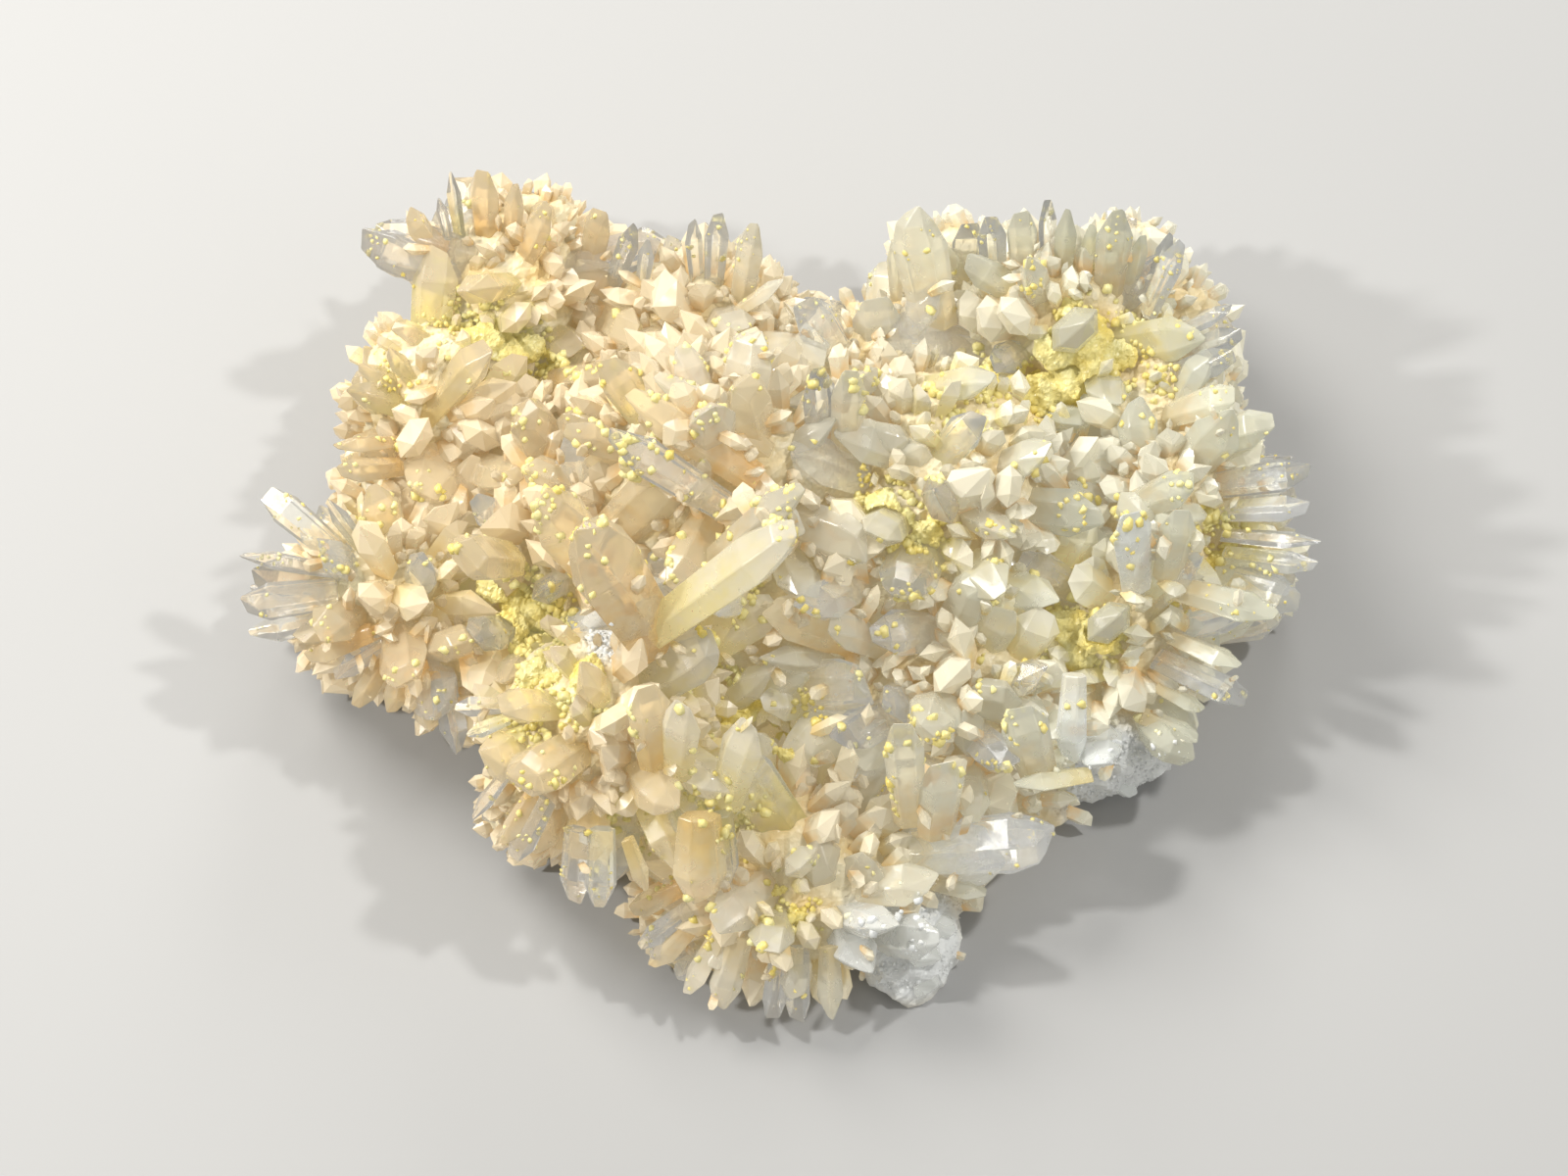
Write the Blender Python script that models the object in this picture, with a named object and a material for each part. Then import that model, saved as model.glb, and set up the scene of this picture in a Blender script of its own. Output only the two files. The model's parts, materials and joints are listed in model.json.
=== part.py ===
"""A plate of intergrown honey and colourless crystals on white matrix, with crusts of native sulfur.

Lengths are millimetres in the tables and metres in the scene, with +Z up and the flat cut of the matrix at z = 0.
Points are given as (across, down, height): across and down are tenths of a millimetre on a display sheet of
160 x 120 mm, seen from the front and above, and height is in millimetres above the cut.
"""

import math
import random
from collections import namedtuple

import bmesh
import bpy
from mathutils import Matrix, Vector
from mathutils.bvhtree import BVHTree

MM = 0.001
FLOOR_CUT_SIDE = 0.3
FLOOR_CUT_DEPTH = 0.1
VIEW_TILT = math.radians(65.0)
VIEW_DISTANCE = 444.0
VIEW_TARGET_HEIGHT = 15.0
SHEET_CENTRE = (800.0, 600.0)
SHEET_UNITS_PER_MM = 10.0
SEED = 7

# Sides of a crystal's flattened hexagon, as shares of half its width and half its thickness.
HEXAGON = ((1.0, 0.0), (0.5, 1.0), (-0.5, 1.0), (-1.0, 0.0), (-0.5, -1.0), (0.5, -1.0))
RHOMB = ((1.0, 0.1), (-0.1, 1.0), (-1.0, -0.1), (0.1, -1.0))
RHOMB_WIDTH = 3.3
THICKNESS_SHARE = 0.58
BASE_SHARE = 0.78
SHOULDER_AT = 0.66
NECK_AT = 0.88
NECK_WIDTH = 5.5
LUMP_ROUGHNESS = 0.14

# Crystals planted over the matrix between the large ones.
PLANT_SPACING = 61.0
PLANT_LENGTH = (8.5, 12.5)
PLANT_SLIMNESS = (0.40, 0.55)
PLANT_DEPTH = 4.0
PLANT_LEAN = 0.35
PLANT_RISE = (0.15, 1.0)
FLANK_HEIGHTS = (4.5, 9.5, 14.5)
FLANK_COUNT = 25
SHORTEST_PLANT = 5.0
PLANT_UPRIGHT_WITHIN = 7.0
LOWEST_TIP = 1.0
LARGE_LUMP = 9.0
CLUSTER_TRIANGLES = 7250

Crystal = namedtuple("Crystal", "tip base width blunt roll skew")
Lump = namedtuple("Lump", "centre radii")

# Crystals round the rim: tip (across, down, height), base (across, down, height), width, bluntness of the end.
RIM_CRYSTALS = (
    (370, 240, 24, 470, 290, 18, 4.6, 0.6),
    (418, 215, 25, 450, 262, 19, 3.2, 0.6),
    (448, 202, 26, 458, 245, 21, 1.4, 0.1),
    (460, 175, 26, 470, 245, 20, 1.7, 0.1),
    (493, 174, 27, 497, 255, 18, 3.6, 0.5),
    (528, 188, 27, 522, 260, 19, 2.6, 0.3),
    (559, 207, 27, 530, 278, 18, 3.3, 0.4),
    (614, 215, 22, 600, 290, 14, 3.6, 0.8),
    (647, 229, 24, 625, 290, 16, 2.6, 0.3),
    (662, 245, 24, 655, 295, 16, 2.0, 0.2),
    (708, 225, 26, 712, 295, 17, 2.2, 0.5),
    (734, 218, 27, 728, 300, 17, 2.7, 0.5),
    (772, 229, 28, 755, 312, 18, 3.6, 0.3),
    (800, 285, 26, 752, 318, 20, 2.4, 0.1),
    (838, 305, 17, 840, 385, 10, 6.0, 0.9),
    (895, 304, 22, 895, 385, 13, 5.2, 0.7),
    (913, 243, 23, 915, 315, 15, 1.8, 0.3),
    (934, 213, 30, 955, 332, 18, 6.0, 0.2),
    (990, 228, 22, 985, 305, 14, 3.6, 0.7),
    (1010, 221, 27, 1015, 292, 18, 3.2, 0.5),
    (1043, 216, 27, 1045, 292, 18, 3.3, 0.7),
    (1068, 204, 28, 1068, 284, 19, 2.2, 0.5),
    (1089, 213, 28, 1083, 292, 19, 2.5, 0.2),
    (1113, 229, 26, 1108, 292, 18, 2.1, 0.4),
    (1142, 214, 29, 1130, 302, 19, 4.0, 0.3),
    (1168, 240, 26, 1150, 302, 18, 2.1, 0.4),
    (1194, 238, 27, 1172, 302, 18, 2.1, 0.3),
    (1206, 247, 28, 1170, 322, 19, 3.1, 0.4),
    (1256, 314, 24, 1190, 345, 18, 3.0, 0.5),
    (1267, 340, 23, 1195, 367, 18, 3.0, 0.5),
    (1260, 364, 24, 1185, 387, 18, 3.2, 0.5),
    (1260, 402, 24, 1190, 424, 18, 3.8, 0.6),
    (1300, 429, 24, 1218, 458, 18, 4.4, 0.4),
    (1336, 477, 24, 1240, 496, 18, 3.6, 0.4),
    (1335, 517, 22, 1240, 522, 17, 3.1, 0.6),
    (1347, 553, 21, 1248, 546, 16, 2.8, 0.1),
    (1343, 575, 19, 1248, 566, 15, 2.6, 0.5),
    (1325, 617, 16, 1240, 588, 13, 4.4, 0.5),
    (1303, 627, 21, 1200, 600, 17, 4.0, 0.3),
    (1265, 680, 17, 1196, 650, 14, 3.2, 0.3),
    (1270, 716, 15, 1180, 672, 13, 4.0, 0.7),
    (1228, 724, 12, 1180, 700, 12, 2.4, 0.6),
    (1222, 755, 11, 1165, 730, 11, 3.0, 0.5),
    (1072, 851, 12, 930, 868, 9, 7.0, 0.5),
    (1007, 911, 8, 945, 898, 8, 3.0, 0.4),
    (850, 1040, 4, 846, 965, 9, 2.8, 0.1),
    (815, 1041, 4, 816, 965, 9, 2.8, 0.8),
    (788, 1039, 4, 796, 962, 9, 2.6, 0.8),
    (736, 1028, 5, 756, 955, 9, 3.4, 0.5),
    (699, 1013, 5, 735, 950, 9, 3.0, 0.4),
    (663, 985, 6, 710, 938, 9, 2.8, 0.3),
    (652, 966, 7, 704, 926, 10, 2.4, 0.4),
    (643, 928, 9, 695, 905, 11, 3.0, 0.5),
    (660, 909, 15, 640, 855, 19, 2.2, 0.2),
    (612, 926, 13, 615, 845, 19, 3.4, 0.3),
    (588, 921, 13, 588, 845, 19, 3.4, 0.5),
    (524, 876, 16, 558, 815, 20, 3.2, 0.6),
    (511, 860, 17, 545, 808, 20, 2.4, 0.4),
    (483, 836, 18, 522, 782, 20, 2.2, 0.1),
    (489, 766, 19, 535, 745, 20, 2.2, 0.3),
    (476, 750, 20, 520, 733, 21, 1.8, 0.2),
    (464, 722, 20, 515, 720, 20, 2.2, 0.3),
    (466, 768, 13, 453, 695, 14, 3.2, 0.2),
    (441, 744, 12, 440, 685, 14, 2.4, 0.4),
    (422, 724, 12, 424, 675, 14, 2.4, 0.5),
    (398, 727, 12, 412, 675, 14, 2.6, 0.5),
    (362, 721, 12, 396, 670, 14, 2.6, 0.5),
    (342, 690, 13, 392, 655, 15, 2.8, 0.5),
    (312, 669, 14, 380, 645, 16, 3.2, 0.5),
    (254, 645, 15, 345, 628, 16, 3.2, 0.1),
    (248, 614, 17, 345, 605, 17, 4.2, 0.5),
    (246, 568, 19, 345, 584, 17, 2.8, 0.1),
    (272, 503, 21, 352, 570, 18, 3.6, 0.7),
    (335, 509, 22, 375, 565, 18, 2.0, 0.1),
    (345, 480, 22, 410, 476, 18, 3.0, 0.5),
    (341, 455, 22, 410, 450, 18, 2.6, 0.3),
    (355, 398, 22, 420, 420, 18, 3.0, 0.3),
    (366, 373, 22, 425, 403, 18, 2.6, 0.4),
    (397, 357, 23, 435, 400, 19, 2.4, 0.5),
    (401, 335, 22, 452, 352, 18, 3.0, 0.5),
)

# The large crystals that stand out inside the rim, in the same form.
INNER_CRYSTALS = (
    (590, 540, 40, 668, 652, 25, 9.5, 0.1),
    (553, 505, 36, 618, 590, 22, 6.5, 0.3),
    (640, 402, 35, 772, 490, 27, 4.4, 0.3),
    (668, 384, 34, 784, 462, 26, 3.8, 0.3),
    (622, 440, 36, 744, 520, 27, 4.2, 0.3),
    (752, 396, 33, 780, 470, 22, 6.6, 0.5),
    (832, 376, 34, 838, 460, 22, 3.8, 0.4),
    (866, 378, 34, 862, 466, 22, 3.8, 0.5),
    (812, 538, 40, 668, 642, 27, 6.4, 0.3),
    (820, 500, 37, 730, 570, 25, 4.6, 0.3),
    (474, 566, 33, 520, 570, 18, 6.0, 0.8),
    (918, 738, 27, 928, 838, 12, 4.2, 0.6),
    (962, 778, 20, 955, 850, 11, 5.2, 0.6),
    (1095, 777, 14, 1096, 688, 20, 3.4, 0.7),
    (1034, 800, 16, 1112, 790, 14, 3.2, 0.1),
    (711, 920, 14, 714, 832, 21, 5.6, 0.1),
    (737, 906, 13, 735, 830, 20, 3.4, 0.4),
    (1150, 525, 28, 1160, 600, 18, 4.6, 0.7),
    (1206, 520, 26, 1190, 590, 18, 4.0, 0.5),
    (1218, 488, 26, 1150, 520, 20, 4.2, 0.5),
    (1038, 722, 22, 1060, 790, 14, 5.0, 0.6),
    (600, 640, 30, 672, 600, 22, 5.0, 0.3),
    (660, 700, 31, 670, 780, 22, 4.6, 0.5),
    (694, 716, 31, 690, 790, 21, 4.4, 0.4),
    (762, 735, 28, 740, 820, 18, 4.6, 0.5),
)

# Broad crystals that fill the ground between the large ones, in the same form.
FILL_CRYSTALS = (
    (530, 430, 24, 575, 470, 14, 6.5, 0.5),
    (592, 425, 25, 602, 475, 14, 6.0, 0.3),
    (545, 482, 23, 590, 492, 14, 6.0, 0.6),
    (620, 455, 26, 625, 500, 16, 5.5, 0.4),
    (898, 440, 26, 905, 480, 16, 6.5, 0.5),
    (938, 455, 25, 925, 500, 16, 5.5, 0.3),
    (1160, 520, 23, 1175, 560, 12, 6.5, 0.6),
    (1198, 528, 23, 1190, 575, 12, 5.5, 0.5),
    (1015, 700, 18, 1015, 745, 8, 6.0, 0.5),
    (982, 730, 17, 1000, 770, 8, 5.0, 0.3),
    (835, 862, 13, 850, 900, 6, 6.0, 0.5),
    (882, 872, 13, 870, 915, 5, 5.0, 0.3),
    (768, 748, 17, 772, 790, 9, 5.0, 0.4),
)

# Points deep in the matrix that the crystals radiate from.
SPRAY_CENTRES = (
    (530, 305, 12),
    (450, 430, 12),
    (725, 330, 11),
    (885, 420, 12),
    (1075, 350, 13),
    (1160, 510, 12),
    (1130, 650, 8),
    (410, 605, 11),
    (640, 740, 14),
    (810, 900, 4),
    (740, 520, 14),
    (960, 520, 13),
    (970, 700, 6),
    (570, 600, 12),
)

# The whole piece's outline on the display sheet, which no planted crystal's tip passes.
OUTLINE = (
    (375, 235), (400, 225), (450, 215), (465, 185), (495, 178), (530, 195), (560, 212), (600, 222), (640, 235),
    (665, 250), (710, 228), (740, 225), (770, 235), (768, 280), (798, 288), (810, 308), (862, 322), (900, 308),
    (912, 265), (934, 222), (965, 245), (1000, 228), (1060, 212), (1100, 225), (1150, 220), (1200, 245), (1200, 300),
    (1250, 316), (1262, 345), (1255, 400), (1295, 428), (1290, 456), (1330, 472), (1325, 515), (1340, 555),
    (1330, 580), (1322, 612), (1300, 626), (1245, 645), (1262, 680), (1265, 715), (1225, 722), (1215, 765),
    (1185, 795), (1100, 808), (1065, 830), (1065, 858), (1000, 890), (990, 920), (962, 960), (945, 1010),
    (870, 1005), (848, 1030), (800, 1030), (740, 1022), (690, 1000), (660, 970), (648, 930), (650, 900), (625, 900),
    (600, 920), (580, 890), (530, 872), (495, 830), (500, 780), (470, 728), (450, 745), (400, 722), (350, 700),
    (310, 666), (262, 645), (252, 610), (260, 568), (310, 562), (280, 508), (335, 520), (352, 505), (345, 450),
    (360, 390), (400, 360), (405, 335), (432, 315), (400, 275),
)

# White matrix under the sprays: centre and half sizes in millimetres.
MATRIX_LUMPS = (
    ((800, 540, 5), (38.0, 25.0, 17.0)),
    ((520, 310, 9), (10.0, 9.5, 12.0)),
    ((440, 420, 9), (8.0, 9.0, 12.0)),
    ((715, 350, 7), (12.0, 8.0, 12.0)),
    ((900, 400, 7), (12.0, 9.0, 12.0)),
    ((1075, 350, 9), (11.0, 9.0, 13.0)),
    ((1170, 430, 8), (9.5, 10.0, 12.0)),
    ((1190, 530, 8), (9.5, 9.0, 12.0)),
    ((1140, 650, 5), (9.5, 9.0, 11.0)),
    ((390, 610, 8), (9.0, 8.5, 10.0)),
    ((620, 750, 11), (11.5, 10.5, 13.0)),
    ((810, 890, 3), (12.0, 10.5, 9.0)),
    ((730, 500, 14), (15.0, 13.0, 14.0)),
    ((960, 500, 12), (14.0, 13.0, 12.0)),
    ((960, 690, 6), (14.0, 14.0, 10.0)),
    ((1105, 755, 4), (9.5, 6.0, 7.0)),
    ((925, 950, 1), (5.5, 7.5, 6.0)),
    ((392, 520, 6), (4.5, 5.0, 9.0)),
    ((500, 690, 6), (7.0, 5.5, 9.0)),
    ((555, 815, 9), (6.0, 5.0, 9.0)),
    ((715, 935, 1), (6.5, 6.0, 6.0)),
    ((1025, 815, 2), (7.0, 4.5, 6.0)),
    ((940, 890, 1), (6.0, 6.0, 6.0)),
    ((1265, 580, 6), (4.5, 5.0, 8.0)),
    ((1190, 345, 9), (6.0, 5.0, 10.0)),
    ((550, 265, 9), (6.5, 5.0, 11.0)),
    ((1140, 290, 10), (6.5, 5.0, 11.0)),
    ((975, 290, 9), (6.5, 5.0, 10.0)),
    ((860, 800, 3), (8.0, 6.0, 8.0)),
)

# Sulfur crusts: name, size of the lumps in millimetres, then where each lump sits on the display sheet.
SULFUR_CRUSTS = (
    ("sulfur_crust_upper_left", 2.7, ((450, 318), (478, 328), (508, 338), (538, 352), (515, 368), (490, 350))),
    ("sulfur_crust_left", 2.2, ((505, 600), (526, 614), (548, 628), (522, 640))),
    ("sulfur_crust_lower_left", 2.3, ((548, 688), (572, 698), (592, 712), (600, 690))),
    ("sulfur_crust_centre", 2.5, ((700, 700), (728, 706), (756, 722), (738, 744))),
    ("sulfur_crust_finger", 1.7, ((826, 714), (823, 732), (817, 750), (808, 768))),
    ("sulfur_crust_upper_right", 2.8,
     ((1000, 400), (1030, 408), (1060, 402), (1090, 392), (1120, 380), (1150, 366), (1080, 356), (1110, 348))),
    ("sulfur_crust_middle_right", 2.3, ((900, 520), (924, 532), (948, 544), (918, 556))),
    ("sulfur_crust_right", 2.2, ((1080, 640), (1102, 634), (1122, 652), (1100, 668))),
    ("sulfur_crust_far_right", 2.0, ((1238, 542), (1258, 556), (1244, 574))),
    ("sulfur_crust_low", 2.0, ((800, 950), (812, 930), (822, 910))),
)
CRUST_HEIGHT_SPREAD = 1.6
CRUST_SINK = 0.25
CRUST_GAP = 0.4
CRUST_TRIANGLES_PER_LUMP = (24, 34, 48, 70)


def from_sheet(across, down, height):
    """The point at this height that is seen at this place on the display sheet, in millimetres."""
    right = (across - SHEET_CENTRE[0]) / (SHEET_UNITS_PER_MM * VIEW_DISTANCE)
    up = (SHEET_CENTRE[1] - down) / (SHEET_UNITS_PER_MM * VIEW_DISTANCE)
    sine = math.sin(VIEW_TILT)
    cosine = math.cos(VIEW_TILT)
    rise = height - VIEW_TARGET_HEIGHT
    back = (up * VIEW_DISTANCE - rise * (cosine + up * sine)) / (sine - up * cosine)
    depth = VIEW_DISTANCE + back * cosine - rise * sine
    return Vector((right * depth, back, height))


def on_sheet(point):
    """Where a point in millimetres is seen on the display sheet."""
    sine = math.sin(VIEW_TILT)
    cosine = math.cos(VIEW_TILT)
    rise = point.z - VIEW_TARGET_HEIGHT
    depth = VIEW_DISTANCE + point.y * cosine - rise * sine
    scale = SHEET_UNITS_PER_MM * VIEW_DISTANCE / depth
    up = point.y * sine + rise * cosine
    return SHEET_CENTRE[0] + point.x * scale, SHEET_CENTRE[1] - up * scale


def inside_outline(point):
    """Whether the display view shows the point inside the outline, by the number of sides that a row crosses."""
    across, down = on_sheet(point)
    inside = False
    for (x0, y0), (x1, y1) in zip(OUTLINE, OUTLINE[1:] + OUTLINE[:1]):
        if (y0 > down) != (y1 > down) and across < x0 + (down - y0) * (x1 - x0) / (y1 - y0):
            inside = not inside
    return inside


def clear_scene():
    for obj in list(bpy.data.objects):
        bpy.data.objects.remove(obj, do_unlink=True)


def new_collection(name, hidden=False):
    collection = bpy.data.collections.new(name)
    bpy.context.scene.collection.children.link(collection)
    collection.hide_render = hidden
    return collection


def new_material(name, colour, roughness, alpha=1.0):
    material = bpy.data.materials.new(name)
    material.use_nodes = True
    material.diffuse_color = (*colour, alpha)
    shader = material.node_tree.nodes["Principled BSDF"]
    shader.inputs["Base Color"].default_value = (*colour, 1.0)
    shader.inputs["Roughness"].default_value = roughness
    shader.inputs["Metallic"].default_value = 0.0
    return material


def new_object(name, mesh, collection):
    obj = bpy.data.objects.new(name, mesh)
    collection.objects.link(obj)
    return obj


def crystal_rings(crystal):
    """Rings of six points from the base to the neck, then the two ends of the tip's ridge, in millimetres."""
    axis = (crystal.tip - crystal.base).normalized()
    length = (crystal.tip - crystal.base).length
    side = axis.cross(Vector((0.0, 0.0, 1.0)))
    if side.length < 0.2:
        side = axis.cross(Vector((0.0, 1.0, 0.0)))
    side = (Matrix.Rotation(crystal.roll, 3, axis) @ side).normalized()
    face = axis.cross(side)
    half_width = crystal.width / 2.0
    half_thickness = half_width * THICKNESS_SHARE
    shoulder = SHOULDER_AT + 0.12 * crystal.blunt
    neck_share = 0.62 + 0.26 * crystal.blunt
    steps = [(0.0, BASE_SHARE), (shoulder, 1.0)]
    if crystal.width >= NECK_WIDTH:
        steps.append((NECK_AT + 0.05 * crystal.blunt, neck_share))
    section = HEXAGON if crystal.width >= RHOMB_WIDTH else RHOMB
    rings = []
    for at, share in steps:
        middle = crystal.base + axis * (at * length) + side * (crystal.skew * half_width * at)
        rings.append([middle + side * (x * half_width * share) + face * (y * half_thickness * share)
                      for x, y in section])
    end = crystal.tip + side * (crystal.skew * half_width)
    ridge = side * (half_width * (0.16 + 0.5 * crystal.blunt))
    drop = axis * (crystal.skew * crystal.width * 0.5)
    return rings, (end + ridge - drop, end - ridge + drop)


def add_crystal(shape, crystal):
    """Adds one closed crystal to a bmesh as the hull of its rings and ridge."""
    rings, ridge = crystal_rings(crystal)
    points = [shape.verts.new(point * MM) for ring in rings for point in ring]
    points += [shape.verts.new(point * MM) for point in ridge]
    hull = bmesh.ops.convex_hull(shape, input=points)
    spare = [item for item in hull["geom_interior"] if isinstance(item, bmesh.types.BMVert)]
    bmesh.ops.delete(shape, geom=spare, context="VERTS")
    return shape


def add_lump(shape, lump, chance):
    """Adds one closed, faceted lump to a bmesh, with more faces where it is large."""
    fineness = 2 if max(lump.radii) > LARGE_LUMP else 1
    made = bmesh.ops.create_icosphere(shape, subdivisions=fineness, radius=1.0)
    for vert in made["verts"]:
        swell = 1.0 + chance.uniform(-LUMP_ROUGHNESS, LUMP_ROUGHNESS)
        vert.co = (lump.centre + vert.co * Vector(lump.radii) * swell) * MM
    return shape


def finish_mesh(name, shape):
    bmesh.ops.recalc_face_normals(shape, faces=shape.faces[:])
    mesh = bpy.data.meshes.new(name)
    shape.to_mesh(mesh)
    shape.free()
    return mesh


def named_crystal(row, chance):
    tip = from_sheet(*row[0:3])
    base = from_sheet(*row[3:6])
    return Crystal(tip, base, row[6], row[7], chance.uniform(-0.45, 0.45), chance.uniform(-0.22, 0.22))


def first_hit(start, heading, lumps):
    """The nearest place where a ray meets a lump, and the outward direction there, or None."""
    best = None
    for lump in lumps:
        scale = Vector([1.0 / radius for radius in lump.radii])
        offset = (start - lump.centre) * scale
        slope = heading * scale
        a = slope.dot(slope)
        b = offset.dot(slope)
        root = b * b - a * (offset.dot(offset) - 1.0)
        if root <= 0.0:
            continue
        distance = (-b - math.sqrt(root)) / a
        if distance > 0.0 and (best is None or distance < best[0]):
            point = start + heading * distance
            best = (distance, point, ((point - lump.centre) * scale * scale).normalized())
    return best


def planted(point, outward, centres, chance):
    """A crystal that starts just under the surface and leans away from the nearest spray centre."""
    centre = min(centres, key=lambda item: (item - point).length)
    heading = point - centre
    heading.z = 0.0
    heading = heading.normalized() * min(1.0, heading.length / PLANT_UPRIGHT_WITHIN) + outward * 0.35
    heading.z += chance.uniform(*PLANT_RISE)
    heading += Vector([chance.uniform(-PLANT_LEAN, PLANT_LEAN) for axis in range(3)])
    heading.normalize()
    length = chance.uniform(*PLANT_LENGTH)
    width = length * chance.uniform(*PLANT_SLIMNESS)
    base = point - heading * PLANT_DEPTH
    while length > SHORTEST_PLANT and not inside_outline(base + heading * length):
        length -= 0.5
    return Crystal(base + heading * length, base, min(width, length * 0.8), chance.uniform(0.1, 0.8),
                   chance.uniform(-0.8, 0.8), chance.uniform(-0.25, 0.25))


def planted_on_top(lumps, centres, chance):
    """Crystals on a jittered grid over the side that the display view shows."""
    eye = Vector((0.0, -math.cos(VIEW_TILT), math.sin(VIEW_TILT))) * VIEW_DISTANCE
    eye.z += VIEW_TARGET_HEIGHT
    for row in range(int(1000 / PLANT_SPACING)):
        for column in range(int(1200 / PLANT_SPACING)):
            across = 220 + (column + 0.5 * (row % 2) + chance.uniform(-0.3, 0.3)) * PLANT_SPACING
            down = 160 + (row + chance.uniform(-0.3, 0.3)) * PLANT_SPACING
            heading = (from_sheet(across, down, 0.0) - eye).normalized()
            hit = first_hit(eye, heading, lumps)
            if hit and hit[1].z > 2.0:
                yield planted(hit[1], hit[2], centres, chance)


def planted_on_flanks(lumps, centres, chance):
    """Crystals round the edge below the rim, where the display view doesn't reach."""
    for row, height in enumerate(FLANK_HEIGHTS):
        for number in range(FLANK_COUNT):
            bearing = math.tau * (number + 0.5 * (row % 2)) / FLANK_COUNT + chance.uniform(-0.05, 0.05)
            outside = Vector((math.cos(bearing) * 90.0, math.sin(bearing) * 80.0, height + chance.uniform(-1.5, 1.5)))
            hit = first_hit(outside, (Vector((0.0, 0.0, outside.z)) - outside).normalized(), lumps)
            if hit:
                yield planted(hit[1], hit[2], centres, chance)


def all_crystals():
    chance = random.Random(SEED)
    crystals = [named_crystal(row, chance) for row in RIM_CRYSTALS + INNER_CRYSTALS]
    centres = [from_sheet(*centre) for centre in SPRAY_CENTRES]
    lumps = all_lumps()
    crystals += planted_on_top(lumps, centres, chance)
    crystals += planted_on_flanks(lumps, centres, chance)
    crystals += [named_crystal(row, chance) for row in FILL_CRYSTALS]
    return [crystal for crystal in crystals if crystal.tip.z > LOWEST_TIP]


def all_lumps():
    return [Lump(from_sheet(*centre), radii) for centre, radii in MATRIX_LUMPS]


def largest_body(name, obj):
    """The largest closed body of the evaluated object, without loose chips or sealed hollows."""
    graph = bpy.context.evaluated_depsgraph_get()
    mesh = bpy.data.meshes.new_from_object(obj.evaluated_get(graph))
    shape = bmesh.new()
    shape.from_mesh(mesh)
    bmesh.ops.remove_doubles(shape, verts=shape.verts[:], dist=2e-6)
    bmesh.ops.triangulate(shape, faces=shape.faces[:])
    left = set(shape.faces)
    bodies = []
    while left:
        first = left.pop()
        body = [first]
        for face in body:
            for edge in face.edges:
                for other in edge.link_faces:
                    if other in left:
                        left.remove(other)
                        body.append(other)
        bodies.append(body)
    bodies.sort(key=len, reverse=True)
    for body in bodies[1:]:
        bmesh.ops.delete(shape, geom=body, context="FACES")
    mesh.name = name
    shape.to_mesh(mesh)
    shape.free()
    return mesh


def simplify(obj, most):
    """Merges the slivers that the joins leave, down to a number of triangles."""
    if len(obj.data.polygons) <= most:
        return
    fewer = obj.modifiers.new("fewer", "DECIMATE")
    fewer.ratio = most / len(obj.data.polygons)
    bpy.context.view_layer.update()
    mesh = bpy.data.meshes.new_from_object(obj.evaluated_get(bpy.context.evaluated_depsgraph_get()))
    obj.modifiers.clear()
    obj.data = mesh


def cut_below(obj, collection):
    """Cuts the object off flat at z = 0."""
    shape = bmesh.new()
    fit = Matrix.Translation((0.0, 0.0, -FLOOR_CUT_DEPTH / 2.0))
    fit = fit @ Matrix.Diagonal((FLOOR_CUT_SIDE, FLOOR_CUT_SIDE, FLOOR_CUT_DEPTH, 1.0))
    bmesh.ops.create_cube(shape, size=1.0, matrix=fit)
    cutter = new_object("flat_cut", finish_mesh("flat_cut", shape), collection)
    cut = obj.modifiers.new("flat_cut", "BOOLEAN")
    cut.operation = "DIFFERENCE"
    cut.object = cutter


def build_cluster(crystals, lumps, collection, tools):
    """One solid: the matrix lumps and every crystal, joined, and cut off flat."""
    chance = random.Random(SEED + 1)
    pieces = new_collection("growths", hidden=True)
    for number, lump in enumerate(lumps[1:]):
        shape = add_lump(bmesh.new(), lump, chance)
        new_object(f"lump_{number}", finish_mesh("lump", shape), pieces)
    for number, crystal in enumerate(crystals):
        shape = add_crystal(bmesh.new(), crystal)
        new_object(f"growth_{number}", finish_mesh("growth", shape), pieces)
    core = new_object("matrix", finish_mesh("matrix", add_lump(bmesh.new(), lumps[0], chance)), tools)
    join = core.modifiers.new("grown_together", "BOOLEAN")
    join.operation = "UNION"
    join.operand_type = "COLLECTION"
    join.collection = pieces
    cut_below(core, tools)
    bpy.context.view_layer.update()
    cluster = new_object("crystal_cluster", largest_body("crystal_cluster", core), collection)
    simplify(cluster, CLUSTER_TRIANGLES)
    cut_below(cluster, tools)
    cluster.data = largest_body("crystal_cluster", cluster)
    cluster.modifiers.clear()
    return cluster


def view_heading():
    """The direction from the specimen to the eye of the display view."""
    return Vector((0.0, -math.cos(VIEW_TILT), math.sin(VIEW_TILT)))


def surface_points(spots, tree):
    """Where the display view meets the cluster at each spot, in millimetres, with steps in height levelled out."""
    eye = view_heading() * VIEW_DISTANCE + Vector((0.0, 0.0, VIEW_TARGET_HEIGHT))
    points = []
    for across, down in spots:
        heading = (from_sheet(across, down, 0.0) - eye).normalized()
        points.append(tree.ray_cast(eye * MM, heading)[0] / MM)
    heights = sorted(point.z for point in points)
    middle = heights[len(heights) // 2]
    levelled = []
    for (across, down), point in zip(spots, points):
        height = min(max(point.z, middle - CRUST_HEIGHT_SPREAD), middle + CRUST_HEIGHT_SPREAD)
        levelled.append(from_sheet(across, down, height))
    return levelled


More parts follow.
